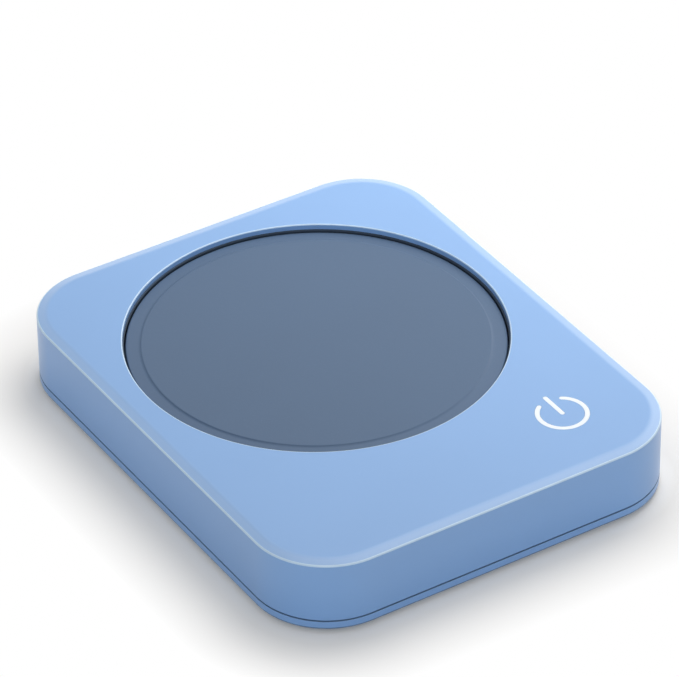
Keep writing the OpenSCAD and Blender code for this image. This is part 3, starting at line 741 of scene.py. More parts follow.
def cover_plastic():
    """Moulded plastic with fine grain. Painted shade makes it dark, and rougher, in the gap between
    cover and tray and along the lower edge. Painted highlights make it pale at the crisp upper
    edge and the mouth of the well, and a painted sheen makes the sloped rim a little paler."""
    scene = bpy.context.scene
    sizes, plate = scene.warmer_housing, scene.warmer_plate
    maker = moulded("cover_plastic", scene.warmer_colours.cover, 0.3, 0.22 * MM, 0.006 * MM,
                    variety=0.02)
    x, y, height = maker.coordinates()
    away = maker.beyond_outline(x, y)
    x, y = x - WELL.x, y - WELL.y
    from_well = (x * x + y * y).math("SQRT")
    # Painted shade: a dark band in the gap between cover and tray, on the outside only
    line = height.math("COMPARE", COVER.low.z - sizes.seam / 2, sizes.seam / 2 + 0.1 * MM)
    line = line * (away > -sizes.lip_inset - 0.1 * MM)
    # Painted shade: a dark band along the tray's lower edge
    edge = height < TRAY.low.z + 0.9 * sizes.tray_edge
    painted_shade = 0.7 * line + 0.85 * edge
    # Painted highlight: a pale line at the mouth of the well
    mouth = from_well.math("COMPARE", plate.well + plate.mouth / 2, plate.mouth / 2)
    mouth = mouth * (height > COVER.high.z - plate.mouth)
    low = crest_height(sizes)
    # Painted highlight: a pale line along the crisp upper edge, away from the well
    crest_highlight = height.math("COMPARE", low + sizes.rim_edge / 2, sizes.rim_edge / 2)
    crest_highlight = crest_highlight * (from_well > plate.well + 2 * MM)
    # Painted sheen: the sloped rim is mixed a little paler
    rim = maker.ramp(away, -sizes.rim - MM, -sizes.rim + 0.3 * MM) * (height > low + sizes.rim_edge)
    painted_highlight = 0.7 * mouth + 0.8 * crest_highlight
    # The colours of the painted shade, the painted sheen on the rim and the painted highlights
    shadow, painted_sheen, pale = (0.1, 0.17, 0.28, 1), (0.75, 0.85, 0.95, 1), (0.72, 0.88, 1, 1)
    ground = maker.mix(maker.now("Base Color"), shadow, painted_shade)
    ground = maker.mix(ground, painted_sheen, 0.15 * rim)
    maker.set("Base Color", maker.mix(ground, pale, painted_highlight))
    maker.set("Roughness", maker.now("Roughness") + 0.5 * painted_shade)


def light_guide():
    """Milky plastic, all but even."""
    moulded("light_guide", bpy.context.scene.warmer_colours.mark, 0.3, 0.4 * MM, 0.002 * MM,
            variety=0.01)


def plate_enamel():
    """Satin coating on cast aluminium: orange peel, and a fine lighter fleck."""
    rgb = bpy.context.scene.warmer_colours.plate
    maker = surface("plate_enamel", 0.42, specular=0.2)
    at = maker.place()
    peel = maker.noise(at, 0.5 * MM)
    fleck = maker.noise(at, 0.12 * MM) > 0.68
    cloud = maker.noise(at, 18 * MM, 3.0)
    ground = maker.tint(rgb, 0.84, 0.92, cloud)
    maker.set("Base Color", maker.mix(ground, shade(rgb, 1.15), 0.4 * fleck))
    maker.set("Roughness", 0.42 + 0.08 * (cloud - 0.5) + 0.08 * (peel - 0.5))
    maker.set("Normal", maker.bump(peel, 0.012 * MM))


def mica():
    """Layered mica sheet: pale flakes in a warm ground, under a slight gloss."""
    rgb = COLOUR_OF["mica"]
    maker = surface("mica", 0.35)
    flakes = maker.node("ShaderNodeTexVoronoi",
                        values={"Vector": maker.place((1, 1, 3)), "Scale": 900.0}, output="Color")
    tone = maker.node("ShaderNodeSeparateColor", values={"Color": flakes})
    maker.set("Base Color", maker.tint(rgb, 0.75, 1.35, tone))
    maker.set("Roughness", 0.25 + 0.3 * tone)


def board_laminate():
    """Solder mask over copper tracks, which show as paler ridges."""
    rgb = COLOUR_OF["board_laminate"]
    maker = surface("board_laminate", 0.35)
    tracks = maker.node("ShaderNodeTexBrick", {"offset": 0.35, "squash": 1.6}, {
        "Vector": maker.place(), "Scale": 220.0, "Mortar Size": 0.05, "Mortar Smooth": 0.4,
        "Color1": (0, 0, 0, 1), "Color2": (0, 0, 0, 1), "Mortar": (1, 1, 1, 1)}, output="Fac")
    weave = maker.noise(maker.place(), 0.3 * MM)
    ground = maker.tint(rgb, 0.9, 1.1, weave)
    maker.set("Base Color", maker.mix(ground, shade(rgb, 1.9), 0.7 * tracks))
    maker.set("Normal", maker.bump(tracks, 0.03 * MM))


def dark_rubber():
    """Matt soft rubber."""
    moulded("dark_rubber", COLOUR_OF["dark_rubber"], 0.7, 0.3 * MM, 0.01 * MM, variety=0.08,
            specular=0.2)


def foot_rubber():
    """Coarser rubber that grips the table."""
    moulded("foot_rubber", COLOUR_OF["foot_rubber"], 0.75, 0.35 * MM, 0.012 * MM, variety=0.08)


def black_plastic():
    """Matt black moulding."""
    moulded("black_plastic", COLOUR_OF["black_plastic"], 0.5, 0.2 * MM, 0.008 * MM, variety=0.15)


def relay_plastic():
    """Smooth, rather glossy case."""
    moulded("relay_plastic", COLOUR_OF["relay_plastic"], 0.28, 0.5 * MM, 0.003 * MM)


def white_plastic():
    """Pale satin moulding."""
    moulded("white_plastic", COLOUR_OF["white_plastic"], 0.45, 0.3 * MM, 0.004 * MM)


def ceramic_felt():
    """Loose felt of ceramic fibre."""
    fibrous("ceramic_felt", 0.35 * MM, 0.08 * MM)


def lead_sleeve():
    """Fine woven sleeve."""
    fibrous("lead_sleeve", 0.12 * MM, 0.05 * MM)


def sheet_steel():
    """Rolled sheet."""
    metal("sheet_steel", 0.34, (1, 12, 1))


def spring_steel():
    """Drawn wire."""
    metal("spring_steel", 0.28, (1, 1, 6))


def screw_steel():
    """Plated steel."""
    metal("screw_steel", 0.3, (1, 1, 10))


def shield_aluminium():
    """Bright rolled sheet."""
    metal("shield_aluminium", 0.22, (12, 1, 1))


def brass_fittings():
    """Stamped brass."""
    metal("brass_fittings", 0.3, (1, 8, 1))


FINISHES = {make.__name__: make for make in (
    cover_plastic, light_guide, plate_enamel, mica, board_laminate, dark_rubber, foot_rubber,
    black_plastic, relay_plastic, white_plastic, ceramic_felt, lead_sleeve, sheet_steel,
    spring_steel, screw_steel, shield_aluminium, brass_fittings)}


def finish_for(slot):
    """The slot's material, made when it is first asked for."""
    if slot + FINISH not in bpy.data.materials:
        FINISHES[slot]()
    return bpy.data.materials[slot + FINISH]


# ---- Operators


class Maker(bpy.types.Operator):
    """What the operators share: they can be undone."""

    bl_options = {"REGISTER", "UNDO"}


def at_posts():
    """The middles of the four screw posts."""
    screws = Place("housing_screws")
    x, y = screws.high.x - HOUSING_HEAD, screws.high.y - HOUSING_HEAD
    return [(side * x, end * y) for side in (-1, 1) for end in (-1, 1)]


def at_standoffs():
    """The middles of the three standoffs that carry the board."""
    screws = Place("board_screws")
    x = screws.high.x - SMALL_HEAD
    front, back = screws.low.y + SMALL_HEAD, screws.high.y - SMALL_HEAD
    return [(-x, front), (x, front), (-x, back)]


def on_well(radius, degrees):
    """A place on a circle around the middle of the well."""
    return (WELL.x + radius * cos(radians(degrees)), WELL.y + radius * sin(radians(degrees)))


def collar_low(p):
    """The collar's lower edge, which the plate's lugs rest against."""
    return PLATE.high.z - p.height + p.lug_height


class WARMER_OT_top_cover(Maker):
    """Moulded top cover with its sloped rim, well, collar, screw posts and cord recess"""

    bl_idname = "warmer.top_cover"
    bl_label = "Top cover"

    def execute(self, context):
        scene = context.scene
        s, p = scene.warmer_housing, scene.warmer_plate
        cover = self.shell(s)
        under = COVER.high.z - s.top
        sunk = under + MM / 2
        joint = TRAY.low.z + s.floor + s.joint
        bore, bore_end, slack = 1.5 * MM, 4.1 * MM, 0.05 * MM
        add(cover, rod("collar", WELL, p.seat + p.collar, collar_low(p), sunk, 160))
        for post in at_posts():
            add(cover, rod("post", post, s.post, joint, sunk, 48))
        add(cover, self.at_bush(radius=6.1 * MM, depth=3.4 * MM, length=2.2 * MM))
        cut(cover, self.well(p))
        for post in at_posts():
            cut(cover, rod("bore", post, bore, joint - MM, under - bore_end, 32))
        cut(cover, self.at_bush(radius=5.2 * MM, depth=1.2 * MM, length=6 * MM),
            self.at_bush(radius=3.85 * MM, depth=5 * MM, length=6 * MM))
        cut(cover, *sign_solids(scene, slack, under - MM, COVER.high.z + MM))
        dress(cover, "top_cover")
        return {"FINISHED"}

    def shell(self, s):
        """The hollow box with its rim."""
        top, edge = COVER.high.z, crest_height(s)
        slope = s.rim_slope
        cover = slab("cover_shell", COVER.size, s.corner, COVER.low.z + s.seam_edge, edge)
        steep = 90 - slope * 180 / pi
        outer = inwards(s.rim_edge, arc((0, edge), s.rim_edge, 0, steep, 6))
        width = s.rim + s.rim_blend * sin(slope)
        inner = inwards(width, arc((0, top - s.rim_blend), s.rim_blend, steep, 90, 8))
        through(cover, outer + inner + [(width + MM, top)])
        low = arc((0, COVER.low.z + s.seam_edge), s.seam_edge, 0, -90, 3)
        through(cover, inwards(s.seam_edge, low), side=-1)
        under, fillet = top - s.top, 0.8 * MM
        hollow = slab("hollow", COVER.size - Vector((2, 2, 0)) * s.wall, s.corner - s.wall,
                      COVER.low.z - MM, under)
        pick_edges(hollow, lambda a, b: min(a.z, b.z) > under - NEAR)
        bpy.ops.mesh.bevel(offset=fillet, segments=4, affect="EDGES")
        cut(cover, hollow)
        return cover

    def at_bush(self, radius, depth, length):
        """A rod along the cord's bush, from a depth behind the outside of the back wall."""
        piece = rod("bush_rod", (0, 0), radius, 0, length)
        return lie_along(piece, "Y", (BUSH.middle.x, COVER.high.y - depth, BUSH.middle.z))

    def well(self, p):
        """What the well takes out of the cover, with a rounded mouth."""
        top, low = COVER.high.z, collar_low(p) - MM
        mouth = arc((p.well + p.mouth, top - p.mouth), p.mouth, 180, 90, 5)
        return turned("well", [(0, low), (p.seat, low), (p.seat, top - p.lip),
                               (p.well, top - p.lip), *mouth, (p.well + p.mouth, top + MM),
                               (0, top + MM)], WELL, 192)


class WARMER_OT_base_tray(Maker):
    """Base tray with its lip, screw pillars, spring pins, vents and foot recesses"""

    bl_idname = "warmer.base_tray"
    bl_label = "Base tray"

    def execute(self, context):
        scene = context.scene
        s, p = scene.warmer_housing, scene.warmer_plate
        tray = self.shell(s)
        floor = TRAY.low.z + s.floor
        sunk = floor - MM / 2
        pins = [on_well(p.spring_ring, angle) for angle in SPRING_ANGLES.values()]
        stops = [on_well(p.stop_ring, angle) for angle in STOP_ANGLES]
        clamp_plate = 0.8 * MM
        supports = []
        for name, spots, radius, high, steps in (
                ("pillar", at_posts(), s.pillar, floor + s.joint, 48),
                ("standoff", at_standoffs(), 2.6 * MM, BOARD.low.z, 40),
                ("pin", pins, 2.1 * MM, floor + 2.6 * MM, 40),
                ("stop", stops, 2.4 * MM, PAD.low.z - clamp_plate - p.travel, 40)):
            supports += [rod(name, spot, radius, sunk, high, steps) for spot in spots]
        shield = Place("heat_shield").size.x / 2
        near, far, high = shield + 0.3 * MM, shield + 1.5 * MM, floor + 1.2 * MM
        supports.append(turned("rail", [(near, sunk), (far, sunk), (far, high), (near, high),
                                        (near, sunk)], WELL, 128))
        switch = Place("weight_switch")
        seat = Vector((0.5, 0.5, 0)) * MM
        supports.append(box("seat", (*(switch.low - seat).xy, sunk),
                            (*(switch.high + seat).xy, switch.low.z)))
        peg_high = switch.high.z - 2.9 * MM
        supports += [rod("peg", (x, WELL.y), MM, floor, peg_high, 32)
                     for x in (-3.2 * MM, 3.2 * MM)]
        fork = Place("bush_fork")
        rail, play, high = 1.4 * MM, 0.1 * MM, floor + 5.94 * MM
        for x in (fork.low.x - rail - play, fork.high.x + play):
            supports.append(box("fork_rail", (x, fork.low.y, sunk), (x + rail, fork.high.y, high)))
        add(tray, *supports)
        self.openings(tray, s)
        dress(tray, "base_tray")
        return {"FINISHED"}

    def shell(self, s):
        """The open tray with its rounded lower edge and its lip."""
        low, seam = TRAY.low.z, COVER.low.z - s.seam
        tray = slab("tray_shell", COVER.size, s.corner, low + s.tray_edge, seam - s.seam_edge)
        edge = arc((0, low + s.tray_edge), s.tray_edge, 0, -90, 8)
        through(tray, inwards(s.tray_edge, edge) + [(s.tray_edge + MM, low)], side=-1)
        shoulder = arc((0, seam - s.seam_edge), s.seam_edge, 0, 90, 3)
        lip_top = COVER.low.z + s.lip_height
        lead_in = 0.3 * MM
        through(tray, inwards(s.seam_edge, shoulder) + [
            (s.lip_inset, seam), (s.lip_inset, lip_top - lead_in), (s.lip_inset + lead_in, lip_top)])
        inside = s.lip_inset + s.lip_wall
        hollow = slab("hollow", COVER.size - Vector((2, 2, 0)) * inside, s.corner - inside,
                      low + s.floor, lip_top + MM)
        fork, room = Place("bush_fork"), 2.4 * MM
        notch = box("notch", (fork.low.x - room, COVER.high.y - inside - MM, low + s.floor),
                    (fork.high.x + room, COVER.high.y - s.lip_inset, lip_top + MM))
        cut(tray, hollow, notch)
        return tray

    def openings(self, tray, s):
        """Screw counterbores and holes, foot recesses, vents and the plain recess."""
        low = TRAY.low.z
        top = low + s.floor + s.joint + MM
        head, hole, edge, head_top = 3 * MM, 1.6 * MM, 0.2 * MM, low + 2.5 * MM
        tools = []
        for post in at_posts():
            tools.append(turned("counterbore", [
                (0, low - MM), (head + edge, low - MM), (head + edge, low), (head, low + edge),
                (head, head_top), (hole, head_top), (hole, top), (0, top)], post, 48))
        for foot in FEET:
            where, play = Place(foot), 0.15 * MM
            radius = where.size.x / 2 + play
            tools.append(rod("recess", where.middle, radius, low - MM, where.high.z, 72))
        bore, bore_low = 1.2 * MM, low + 1.4 * MM
        for spot in at_standoffs():
            tools.append(rod("bore", spot, bore, bore_low, BOARD.low.z + MM, 24))
        vent, pitch, above = Vector((2, 12, 0)) * MM, 5 * MM, 5 * MM
        for i in (-2, -1, 0, 1, 2):
            tools.append(slab("vent", vent, ROUND * vent.x / 2, low - MM, above, 10,
                              (i * pitch, BOARD.middle.y)))
        recess, corner, deep = Vector((44, 26, 0)) * MM, 1.5 * MM, 0.3 * MM
        tools.append(slab("recess", recess, corner, low - MM, low + deep, 6, (0, WELL.y)))
        cut(tray, *tools)


class WARMER_OT_feet(Maker):
    """Four rubber feet with a rounded rim and a shallow hollow"""

    bl_idname = "warmer.feet"
    bl_label = "Feet"

    def execute(self, context):
        first = Place(FEET[0])
        radius, top = first.size.x / 2, first.high.z
        hollow, deep, small, large = 3.4 * MM, 0.35 * MM, 0.2 * MM, 0.7 * MM
        foot = turned(FEET[0] + "_pad", [
            (0, deep), (hollow, deep), *arc((hollow + MM / 2, small), small, 180, 270, 4),
            *arc((radius - large, large), large, -90, 0, 6),
            *arc((radius - small, top - small), small, 0, 90, 3), (0, top)], first.middle, 72)
        for node in FEET[1:]:
            dress(duplicate(foot, node + "_pad", Place(node).middle - first.middle), node)
        dress(foot, FEET[0])
        return {"FINISHED"}


def sign_solids(scene, grow, low, high):
    """The power sign: an open ring with round ends, and a bar."""
    m = scene.warmer_mark
    middle = mark_middle()
    half = m.line / 2 + grow
    start, turn = pi / 2 + m.opening, 2 * pi - 2 * m.opening
    ring = turned("ring", [(m.ring - half, low), (m.ring + half, low), (m.ring + half, high),
                           (m.ring - half, high)], middle, 96, start, turn)
    ends = [(middle.x + m.ring * cos(a), middle.y + m.ring * sin(a)) for a in (start, start + turn)]
    add(ring, *[rod("end", end, half, low, high, 40) for end in ends])
    return [ring, sign_bar(m, half, low, high)]


def sign_bar(m, half, low, high):
    """A bar with round ends from the mark's middle to the back, of half a width."""
    middle = mark_middle()
    return slab("bar", Vector((2 * half, m.bar + 2 * half, 0)), half * ROUND, low, high, 12,
                (middle.x, middle.y + m.bar / 2))


def mark_middle():
    """The middle of the power mark, from its ring's left, right and front sides."""
    return Vector((GUIDE.middle.x, GUIDE.low.y + GUIDE.size.x / 2, 0))


class WARMER_OT_power_mark(Maker):
    """Light guide whose face is the power mark, with its lamp"""

    bl_idname = "warmer.power_mark"
    bl_label = "Power mark"

    def execute(self, context):
        scene = context.scene
        m = scene.warmer_mark
        under = COVER.high.z - scene.warmer_housing.top
        low = under - m.base
        middle = mark_middle()
        radius, edge, around_bar = GUIDE.size.x / 2, 0.15 * MM, 0.8 * MM
        guide = turned("power_guide", [(0, low), *chamfered(radius, low, under, edge), (0, under)],
                       middle, 96)
        foot = sign_bar(m, m.line / 2 + around_bar, low, under)
        add(guide, foot, *sign_solids(scene, 0, under - MM / 4, COVER.high.z))
        tidy_mesh(guide)
        dress(guide, "power_mark")

        lamp = Place("mark_led")
        base, bulb = lamp.size.x / 2, 1.5 * MM
        z, flange = lamp.low.z, lamp.low.z + 0.8 * MM
        led = turned("mark_led_lamp", [
            (0, z), (base - edge, z), (base, z + edge), (base, flange - 0.1 * MM),
            (base - edge, flange), (bulb, flange + 0.05 * MM),
            *arc((0, lamp.high.z - bulb), bulb, 0, 90, 12)], middle, 48)
        dress(led, "mark_led")
        return {"FINISHED"}


class WARMER_OT_heating_plate(Maker):
    """Cast heating plate with its raised land, skirt, screw bosses and retaining lugs"""

    bl_idname = "warmer.heating_plate"
    bl_label = "Heating plate"

    def execute(self, context):
        p = context.scene.warmer_plate
        top, radius = PLATE.high.z, PLATE.size.x / 2
        low, under = top - p.height, top - p.disc
        inner = radius - p.skirt
        border = radius - p.border
        edge, fillet, small, groove = 0.4 * MM, 0.6 * MM, 0.15 * MM, 0.02 * MM
        plate = turned("plate_casting", [
            (0, top), *arc((border - p.land - fillet, top - fillet), fillet, 90, 45, 4),
            (border, top - p.land - groove),
            *arc((radius - edge, top - p.land - edge), edge, 90, 0, 5),
            (radius, low + small), (radius - small, low), (inner + small, low),
            (inner, low + small), *arc((inner - fillet, under - fillet), fillet, 0, 90, 4),
            (0, under)], WELL, 192)
        for angle in LUG_ANGLES:
            add(plate, self.lug(p, angle, inner, radius + p.lug_reach, low))
        bore, bore_end = 1.2 * MM, PAD.low.z + 3.3 * MM
        for angle in SCREW_ANGLES:
            spot = on_well(p.screw_ring, angle)
            add(plate, rod("boss", spot, p.boss, PAD.low.z, under + MM / 2, 40))
            cut(plate, rod("bore", spot, bore, PAD.low.z - MM, bore_end, 32))
        dress(plate, "heating_plate")
        return {"FINISHED"}

    def lug(self, p, angle, inner, reach, low):
        """A lug with a round outside and straight flanks, which starts inside the skirt."""
        high, edge, half, spread = low + p.lug_height, 0.2 * MM, p.lug_width / 2, 12
        lug = turned("lug", [(inner + MM, low), *chamfered(reach, low, high, edge),
                             (inner + MM, high)],
                     WELL, 12, radians(angle - spread), radians(2 * spread))
        keep = box("keep", (inner, -half, low - MM), (reach + MM, half, high + MM))
        turn = Matrix.Rotation(radians(angle), 4, "Z")
        keep.data.transform(Matrix.Translation(WELL) @ turn)
        boolean(lug, [keep], "INTERSECT")
        return lug


class WARMER_OT_plate_seal(Maker):
    """Soft ring under the well's lip, whose upper edge leans in towards the plate"""

    bl_idname = "warmer.plate_seal"
    bl_label = "Plate seal"

    def execute(self, context):
        outer, lean, lip, gap = SEAL.size.x / 2, 0.4 * MM, 0.1 * MM, 0.25 * MM
        inner = PLATE.size.x / 2 + gap
        low, high = SEAL.low.z, SEAL.high.z
        seal = turned("seal_ring", [
            (outer, low), (outer, high), (inner + lip, high),
            *arc((inner + lip, high - lip), lip, 90, 180, 3), (outer - lean, low), (outer, low)],
            WELL, 192)
        dress(seal, "plate_seal")
        return {"FINISHED"}


WHITE = (1, 1, 1, 1)

# Lights that only reflections show: azimuth and elevation in degrees, and share of the strength
SHEENS = ((132, 60, 0.55), (112, 30, 0.65), (145, 12, 0.25), (328, 54, 1.7), (37, 42, 0.7))


def direction(azimuth, elevation):
    """A direction in space: azimuth 0 is from the front and a quarter turn from the right."""
    return Vector((sin(azimuth) * cos(elevation), -cos(azimuth) * cos(elevation), sin(elevation)))


class WARMER_OT_stage(Maker):
    """Camera, soft studio light, white surroundings and floor"""

    bl_idname = "warmer.stage"
    bl_label = "Stage"

    def execute(self, context):
        scene = context.scene
        stage = scene.warmer_stage
        scene.view_settings.view_transform = "Standard"
        self.camera(scene, stage)
        self.light(scene, stage)
        self.floor()
        return {"FINISHED"}

    def camera(self, scene, stage):
        """The camera looks down on the front left corner."""
        back = direction(stage.azimuth, stage.elevation)
        level = Vector((cos(stage.azimuth), sin(stage.azimuth), 0))
        upright = back.cross(level)
        right = level * cos(stage.roll) + upright * sin(stage.roll)
        up = back.cross(right)
        left, over, under = 1.049 * MM, 5.562 * MM, 0.8 * MM
        aim = Vector((0, 0, COVER.high.z - under)) - left * level + over * upright
        turn = Matrix((right, up, back)).transposed().to_euler()
        leave_all()
        bpy.ops.object.camera_add(location=aim + stage.distance * back, rotation=turn)
        camera = bpy.context.object
        camera.data.lens = stage.lens
        camera.data.sensor_width = 36
        camera.data.clip_start = 0.01
        scene.camera = camera

    def light(self, scene, stage):
        """Even light all around, soft lamps in front and behind, and lights for the sheen."""
        world = bpy.data.worlds.new("studio")
        scene.world = world
        world.use_nodes = True
        maker = Finish(world.node_tree)
        bright = stage.ambient + (1 - stage.ambient) * maker.seen()
        sky = maker.node("ShaderNodeBackground", values={"Color": WHITE, "Strength": bright})
        maker.node("ShaderNodeOutputWorld", values={"Surface": sky})
        key = self.lamp("key", "AREA", azimuth=122, elevation=50, distance=0.36)
        key.data.energy = stage.key
        key.data.size = 0.3
        key.visible_glossy = False
        front = self.sun("front", azimuth=-40, elevation=18, spread=40, strength=stage.front)
        front.data.color = (0.72, 0.86, 1)
        front.visible_glossy = False
        for azimuth, elevation, share in SHEENS:
            strength = share * stage.sheen
            sheen = self.sun("sheen", azimuth, elevation, spread=36, strength=strength)
            sheen.visible_diffuse = False

    def sun(self, name, azimuth, elevation, spread, strength):
        """A soft light from far away."""
        sun = self.lamp(name, "SUN", azimuth, elevation, 1)
        sun.data.energy = strength
        sun.data.angle = radians(spread)
        return sun

    def lamp(self, name, kind, azimuth, elevation, distance):
        """A lamp that shines on the middle of the object, with its angles in degrees."""
        towards = direction(radians(azimuth), radians(elevation))
        leave_all()
        bpy.ops.object.light_add(type=kind, location=distance * towards,
                                 rotation=towards.to_track_quat("Z", "Y").to_euler())
        bpy.context.object.name = name
        return bpy.context.object

    def floor(self):
        """White floor that keeps the soft shadow near the object and fades to plain white. To the
        camera it is darker near the object, as painted shade, and lighter right at the outline, as
        painted light in the contact shadow. Under the object, out of sight, it glows to light the
        underside.
        """
        leave_all()
        bpy.ops.mesh.primitive_circle_add(vertices=96, radius=4, fill_type="NGON")
        floor = new_piece("floor")
        material = bpy.data.materials.new("white_floor")
        material.use_nodes = True
        maker = Finish(material.node_tree)
        x, y, _ = maker.coordinates()
        away = maker.beyond_outline(x, y)
        reach, end = 4 * MM, 20 * MM
        fade = maker.ramp(away, -reach, end)
        # Painted light: 1 within the outline, falling to 0 a few millimetres outside it
        near = maker.ramp(away, reach, 0)
        seen = maker.seen()
        # Painted shade and painted light: the camera sees the darker colour near the object and the
        # lighter one at the outline, other rays see white
        painted_shade_floor, painted_light_floor = (0.84, 0.8, 0.75, 1), (1, 0.97, 0.93, 1)
        warm = maker.mix(WHITE, maker.mix(painted_shade_floor, painted_light_floor, near), seen)
        matt = maker.node("ShaderNodeBsdfDiffuse", values={"Color": warm})
        glow = maker.node("ShaderNodeEmission", values={"Color": WHITE})
        # Under the object the floor glows, out of sight, as a light for the underside
        soft = maker.node("ShaderNodeEmission", values={"Color": WHITE, "Strength": 0.5})
        below = maker.node("ShaderNodeNewGeometry", output="Backfacing")
        direct = maker.node("ShaderNodeLightPath", output="Is Camera Ray")
        clear = maker.node("ShaderNodeBsdfTransparent")
        look = matt
        for share, other in ((fade * seen, glow), (away < -reach, soft), (below * direct, clear)):
            look = maker.node("ShaderNodeMixShader", values={0: share, 1: look, 2: other})
        maker.node("ShaderNodeOutputMaterial", values={"Surface": look})
        floor.data.materials.append(material)
        floor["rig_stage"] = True


class WARMER_OT_screws(Maker):
    """Pan head screws of the housing, the clamp plate, the board and the fuse's strap"""

    bl_idname = "warmer.screws"
    bl_label = "Screws"

    def execute(self, context):
        p = context.scene.warmer_plate
        ring = [on_well(p.screw_ring, angle) for angle in SCREW_ANGLES]
        self.row("housing_screws", at_posts(), radius=1.4 * MM, height=1.8 * MM)
        self.row("clamp_screws", ring, radius=1.1 * MM, height=1.2 * MM)
        self.row("board_screws", at_standoffs(), radius=1.1 * MM, height=1.3 * MM, down=True)
        strap = Place("fuse_clip_screw")
        self.row("fuse_clip_screw", [strap.middle], radius=1.1 * MM, height=1.2 * MM)
        return {"FINISHED"}

    def row(self, node, spots, radius, height, down=False):
        """Equal screws on several spots. The node's box gives their heads and their ends."""
        where = Place(node)
        head = HOUSING_HEAD if node == "housing_screws" else SMALL_HEAD
        piece = screw(node + "_one", radius, head, height, where.size.z - height)
        seat = where.low.z + height
        if down:
            piece.data.transform(Matrix.Rotation(pi, 4, "X"))
            seat = where.high.z - height
        places = [(spot[0], spot[1], seat) for spot in spots]
        dress(repeated(node + "_set", piece, places), node)


class WARMER_OT_cord_inlet(Maker):
    """Rubber bush in the back wall with its flanges, and the fork that holds it"""

    bl_idname = "warmer.cord_inlet"
    bl_label = "Cord inlet"

    def execute(self, context):
        flange, neck, bore = BUSH.size.x / 2, 3.8 * MM, 2.6 * MM
        thick, edge, mouth, second = 1.1 * MM, 0.2 * MM, 0.7 * MM, 2.7 * MM
        length = BUSH.size.y
        outline = []
        for start in (0, second):
            outline += [(neck, start), *chamfered(flange, start, start + thick, edge),
                        (neck, start + thick)]
        outline[0] = (bore + edge, 0)
        outline += [(neck, length - thick), (flange - edge, length - thick),
                    (flange, length - thick + edge),
                    *arc((flange - 2 * edge, length - 2 * edge), 2 * edge, 0, 90, 4),
                    *arc((bore + mouth, length - mouth), mouth, 90, 180, 6), (bore, edge),
                    outline[0]]
        bush = turned("cord_bush_sleeve", outline, steps=72)
        lie_along(bush, "Y", (BUSH.middle.x, BUSH.low.y, BUSH.middle.z))
        dress(bush, "cord_bush")
        softened("bush_fork", 0.15 * MM)
        return {"FINISHED"}


class WARMER_OT_heater(Maker):
    """Mica heating element, insulation pad, clamp plate and temperature sensor"""

    bl_idname = "warmer.heater"
    bl_label = "Heater"

    def execute(self, context):
        softened("heating_element", 0.12 * MM)
        softened("insulation_pad", 0.3 * MM)
        softened("clamp_plate", 0.15 * MM)
        bead = Place("temperature_sensor")
        radius, low, high = bead.size.x / 2, bead.low.z, bead.high.z
        edge, groove = 0.3 * MM, 0.25 * MM
        sensor = turned("sensor_bead", [
            (0, low), (radius - edge, low), (radius, low + edge), (radius, high - 5 * edge),
            (radius - groove, high - 4 * edge), (radius, high - 3 * edge), (radius, high - edge),
            (radius - edge, high), (0, high)], bead.middle, 48)
        dress(sensor, "temperature_sensor")
        return {"FINISHED"}


class WARMER_OT_thermal_fuse(Maker):
    """Thermal fuse with its tails, and the strap that holds it under the clamp plate"""

    bl_idname = "warmer.thermal_fuse"
    bl_label = "Thermal fuse"

    def execute(self, context):
        where = Place("thermal_fuse")
        radius, tail, wire, edge = where.size.y / 2, 2 * MM, 0.5 * MM, 0.5 * MM
        end = where.size.x
        fuse = turned("fuse_body", [
            (0, 0), (wire, 0), (wire, tail), *chamfered(radius, tail, end - tail, edge),
            (wire, end - tail), (wire, end), (0, end)], steps=40)
        lie_along(fuse, "X", (where.low.x, where.middle.y, where.middle.z))
        dress(fuse, "thermal_fuse")
        softened("fuse_clip", 0.12 * MM)
        return {"FINISHED"}


class WARMER_OT_springs(Maker):
    """Three springs under the plate, and the sensing spring"""

    bl_idname = "warmer.springs"
    bl_label = "Springs"

    def execute(self, context):
        p = context.scene.warmer_plate
        for node, angle in SPRING_ANGLES.items():
            where = Place(node)
            coil = self.coil(node, where, on_well(p.spring_ring, angle), 0.6 * MM, 5)
            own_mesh(coil)
        self.coil("touch_spring", Place("touch_spring"), mark_middle(), 0.5 * MM, 6)
        return {"FINISHED"}

    def coil(self, node, where, middle, wire, turns):
        """A coil around a middle that fills the node's box."""
        radius = where.high.x - middle[0] - wire / 2
        coil = helix(node + "_coil", middle, radius, wire, turns, where.low.z, where.high.z)
        dress(coil, node, 60)
        return coil


class WARMER_OT_weight_switch(Maker):
    """Switch under the plate, with its plunger and terminals, and the shield around it"""

    bl_idname = "warmer.weight_switch"
    bl_label = "Weight switch"

    def execute(self, context):
        softened("weight_switch", 0.25 * MM)
        softened("switch_plunger", 0.15 * MM)
        softened("switch_terminals", 0.06 * MM)
        softened("heat_shield", 0.08 * MM)
        return {"FINISHED"}


class WARMER_OT_board(Maker):
    """Control board and the parts on it"""

    bl_idname = "warmer.board"
    bl_label = "Control board"

    def execute(self, context):
        for node, edge in (("control_board", 0.12), ("controller_chip", 0.1), ("power_relay", 0.5),
                           ("power_converter", 0.6), ("mains_terminal", 0.25), ("board_fuse", 0.1),
                           ("plate_connector", 0.3)):
            softened(node, edge * MM)
        where = Place("smoothing_capacitor")
        radius, end, edge, crimp = where.size.z / 2, where.size.x, 0.35 * MM, 0.25 * MM
        sunk = 0.2 * MM
        can = turned("capacitor_can", [
            (0, sunk), (radius - 2 * edge, sunk), (radius - edge, 0), (radius, edge),
            (radius, 3 * edge), (radius - crimp, 4 * edge), (radius, 5 * edge), (radius, end - edge),
            (radius - edge, end), (0, end)], steps=56)
        lie_along(can, "X", (where.low.x, where.middle.y, where.middle.z))
        dress(can, "smoothing_capacitor")
        return {"FINISHED"}


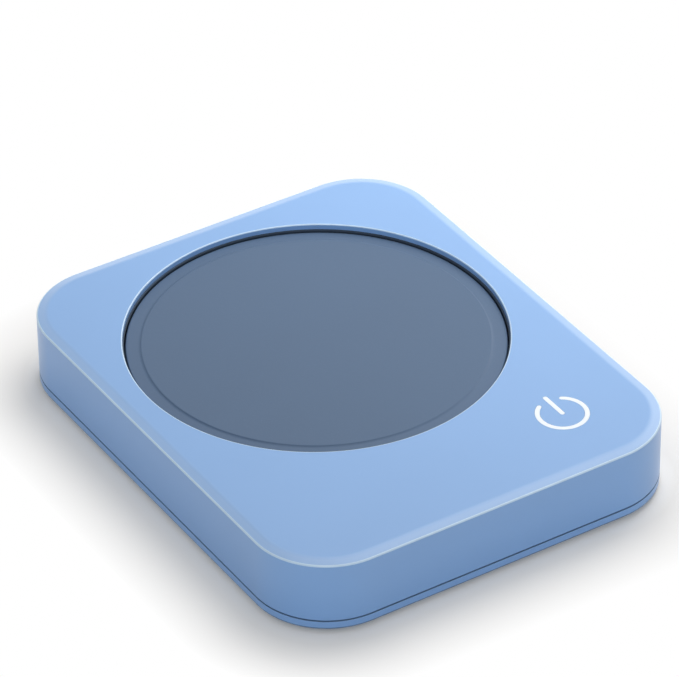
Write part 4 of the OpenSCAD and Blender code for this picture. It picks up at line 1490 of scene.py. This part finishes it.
class WARMER_OT_leads(Maker):
    """Sleeved leads. Those from the plate to the board are not attached to a body"""

    bl_idname = "warmer.leads"
    bl_label = "Leads"

    def execute(self, context):
        for node in ("heater_lead_left", "heater_lead_right", "fuse_lead", "sensor_leads",
                     "switch_leads"):
            lead = self.sleeve(node)
            bends = node in ("heater_lead_left", "fuse_lead", "sensor_leads")
            dress(lead, node, 60, rides=not bends)
            if bends:
                where = Place(node)
                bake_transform(lead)
        return {"FINISHED"}

    def sleeve(self, node):
        """The construction lead, rounder."""
        lead = copied(node, node + "_sleeve")
        tidy_mesh(lead)
        edit_all(lead)
        bpy.ops.mesh.tris_convert_to_quads(face_threshold=radians(60), shape_threshold=radians(60))
        modify(lead, "SUBSURF", levels=1, render_levels=1)
        return lead


class WARMER_OT_finishes(Maker):
    """Finishes of the construction pieces"""

    bl_idname = "warmer.finishes"
    bl_label = "Finishes"

    def execute(self, context):
        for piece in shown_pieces():
            node = piece.get("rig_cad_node")
            if node:
                finish(piece, SLOT_OF[node])
        return {"FINISHED"}


GROUPS = {"warmer_housing": HousingSizes, "warmer_plate": PlateSizes, "warmer_mark": MarkSizes,
          "warmer_colours": Colours, "warmer_stage": StageSettings}
STEPS = (WARMER_OT_stage, WARMER_OT_top_cover, WARMER_OT_base_tray, WARMER_OT_feet,
         WARMER_OT_power_mark, WARMER_OT_heating_plate, WARMER_OT_plate_seal, WARMER_OT_screws,
         WARMER_OT_cord_inlet, WARMER_OT_heater, WARMER_OT_thermal_fuse, WARMER_OT_springs,
         WARMER_OT_weight_switch, WARMER_OT_board, WARMER_OT_leads, WARMER_OT_finishes)


class WARMER_PT_bench(bpy.types.Panel):
    """Lists the sizes, colours and steps"""

    bl_label = "Mug warmer"
    bl_space_type = "VIEW_3D"
    bl_region_type = "UI"
    bl_category = "Mug Warmer"

    def draw(self, context):
        for group, kind in GROUPS.items():
            section = self.layout.box()
            for name in kind.__annotations__:
                section.prop(getattr(context.scene, group), name)
        for step in STEPS:
            self.layout.operator(step.bl_idname)


def register():
    """Make the settings, steps and panel known."""
    for part in (*GROUPS.values(), *STEPS, WARMER_PT_bench):
        bpy.utils.register_class(part)
    for name, kind in GROUPS.items():
        setattr(bpy.types.Scene, name, PointerProperty(type=kind))


def unregister():
    """Take them away again."""
    for name in GROUPS:
        delattr(bpy.types.Scene, name)
    for part in reversed((*GROUPS.values(), *STEPS, WARMER_PT_bench)):
        bpy.utils.unregister_class(part)


def main():
    """Build the whole scene."""
    register()
    for step in STEPS:
        group, name = step.bl_idname.split(".")
        getattr(getattr(bpy.ops, group), name)()


if __name__ == "__main__":
    main()
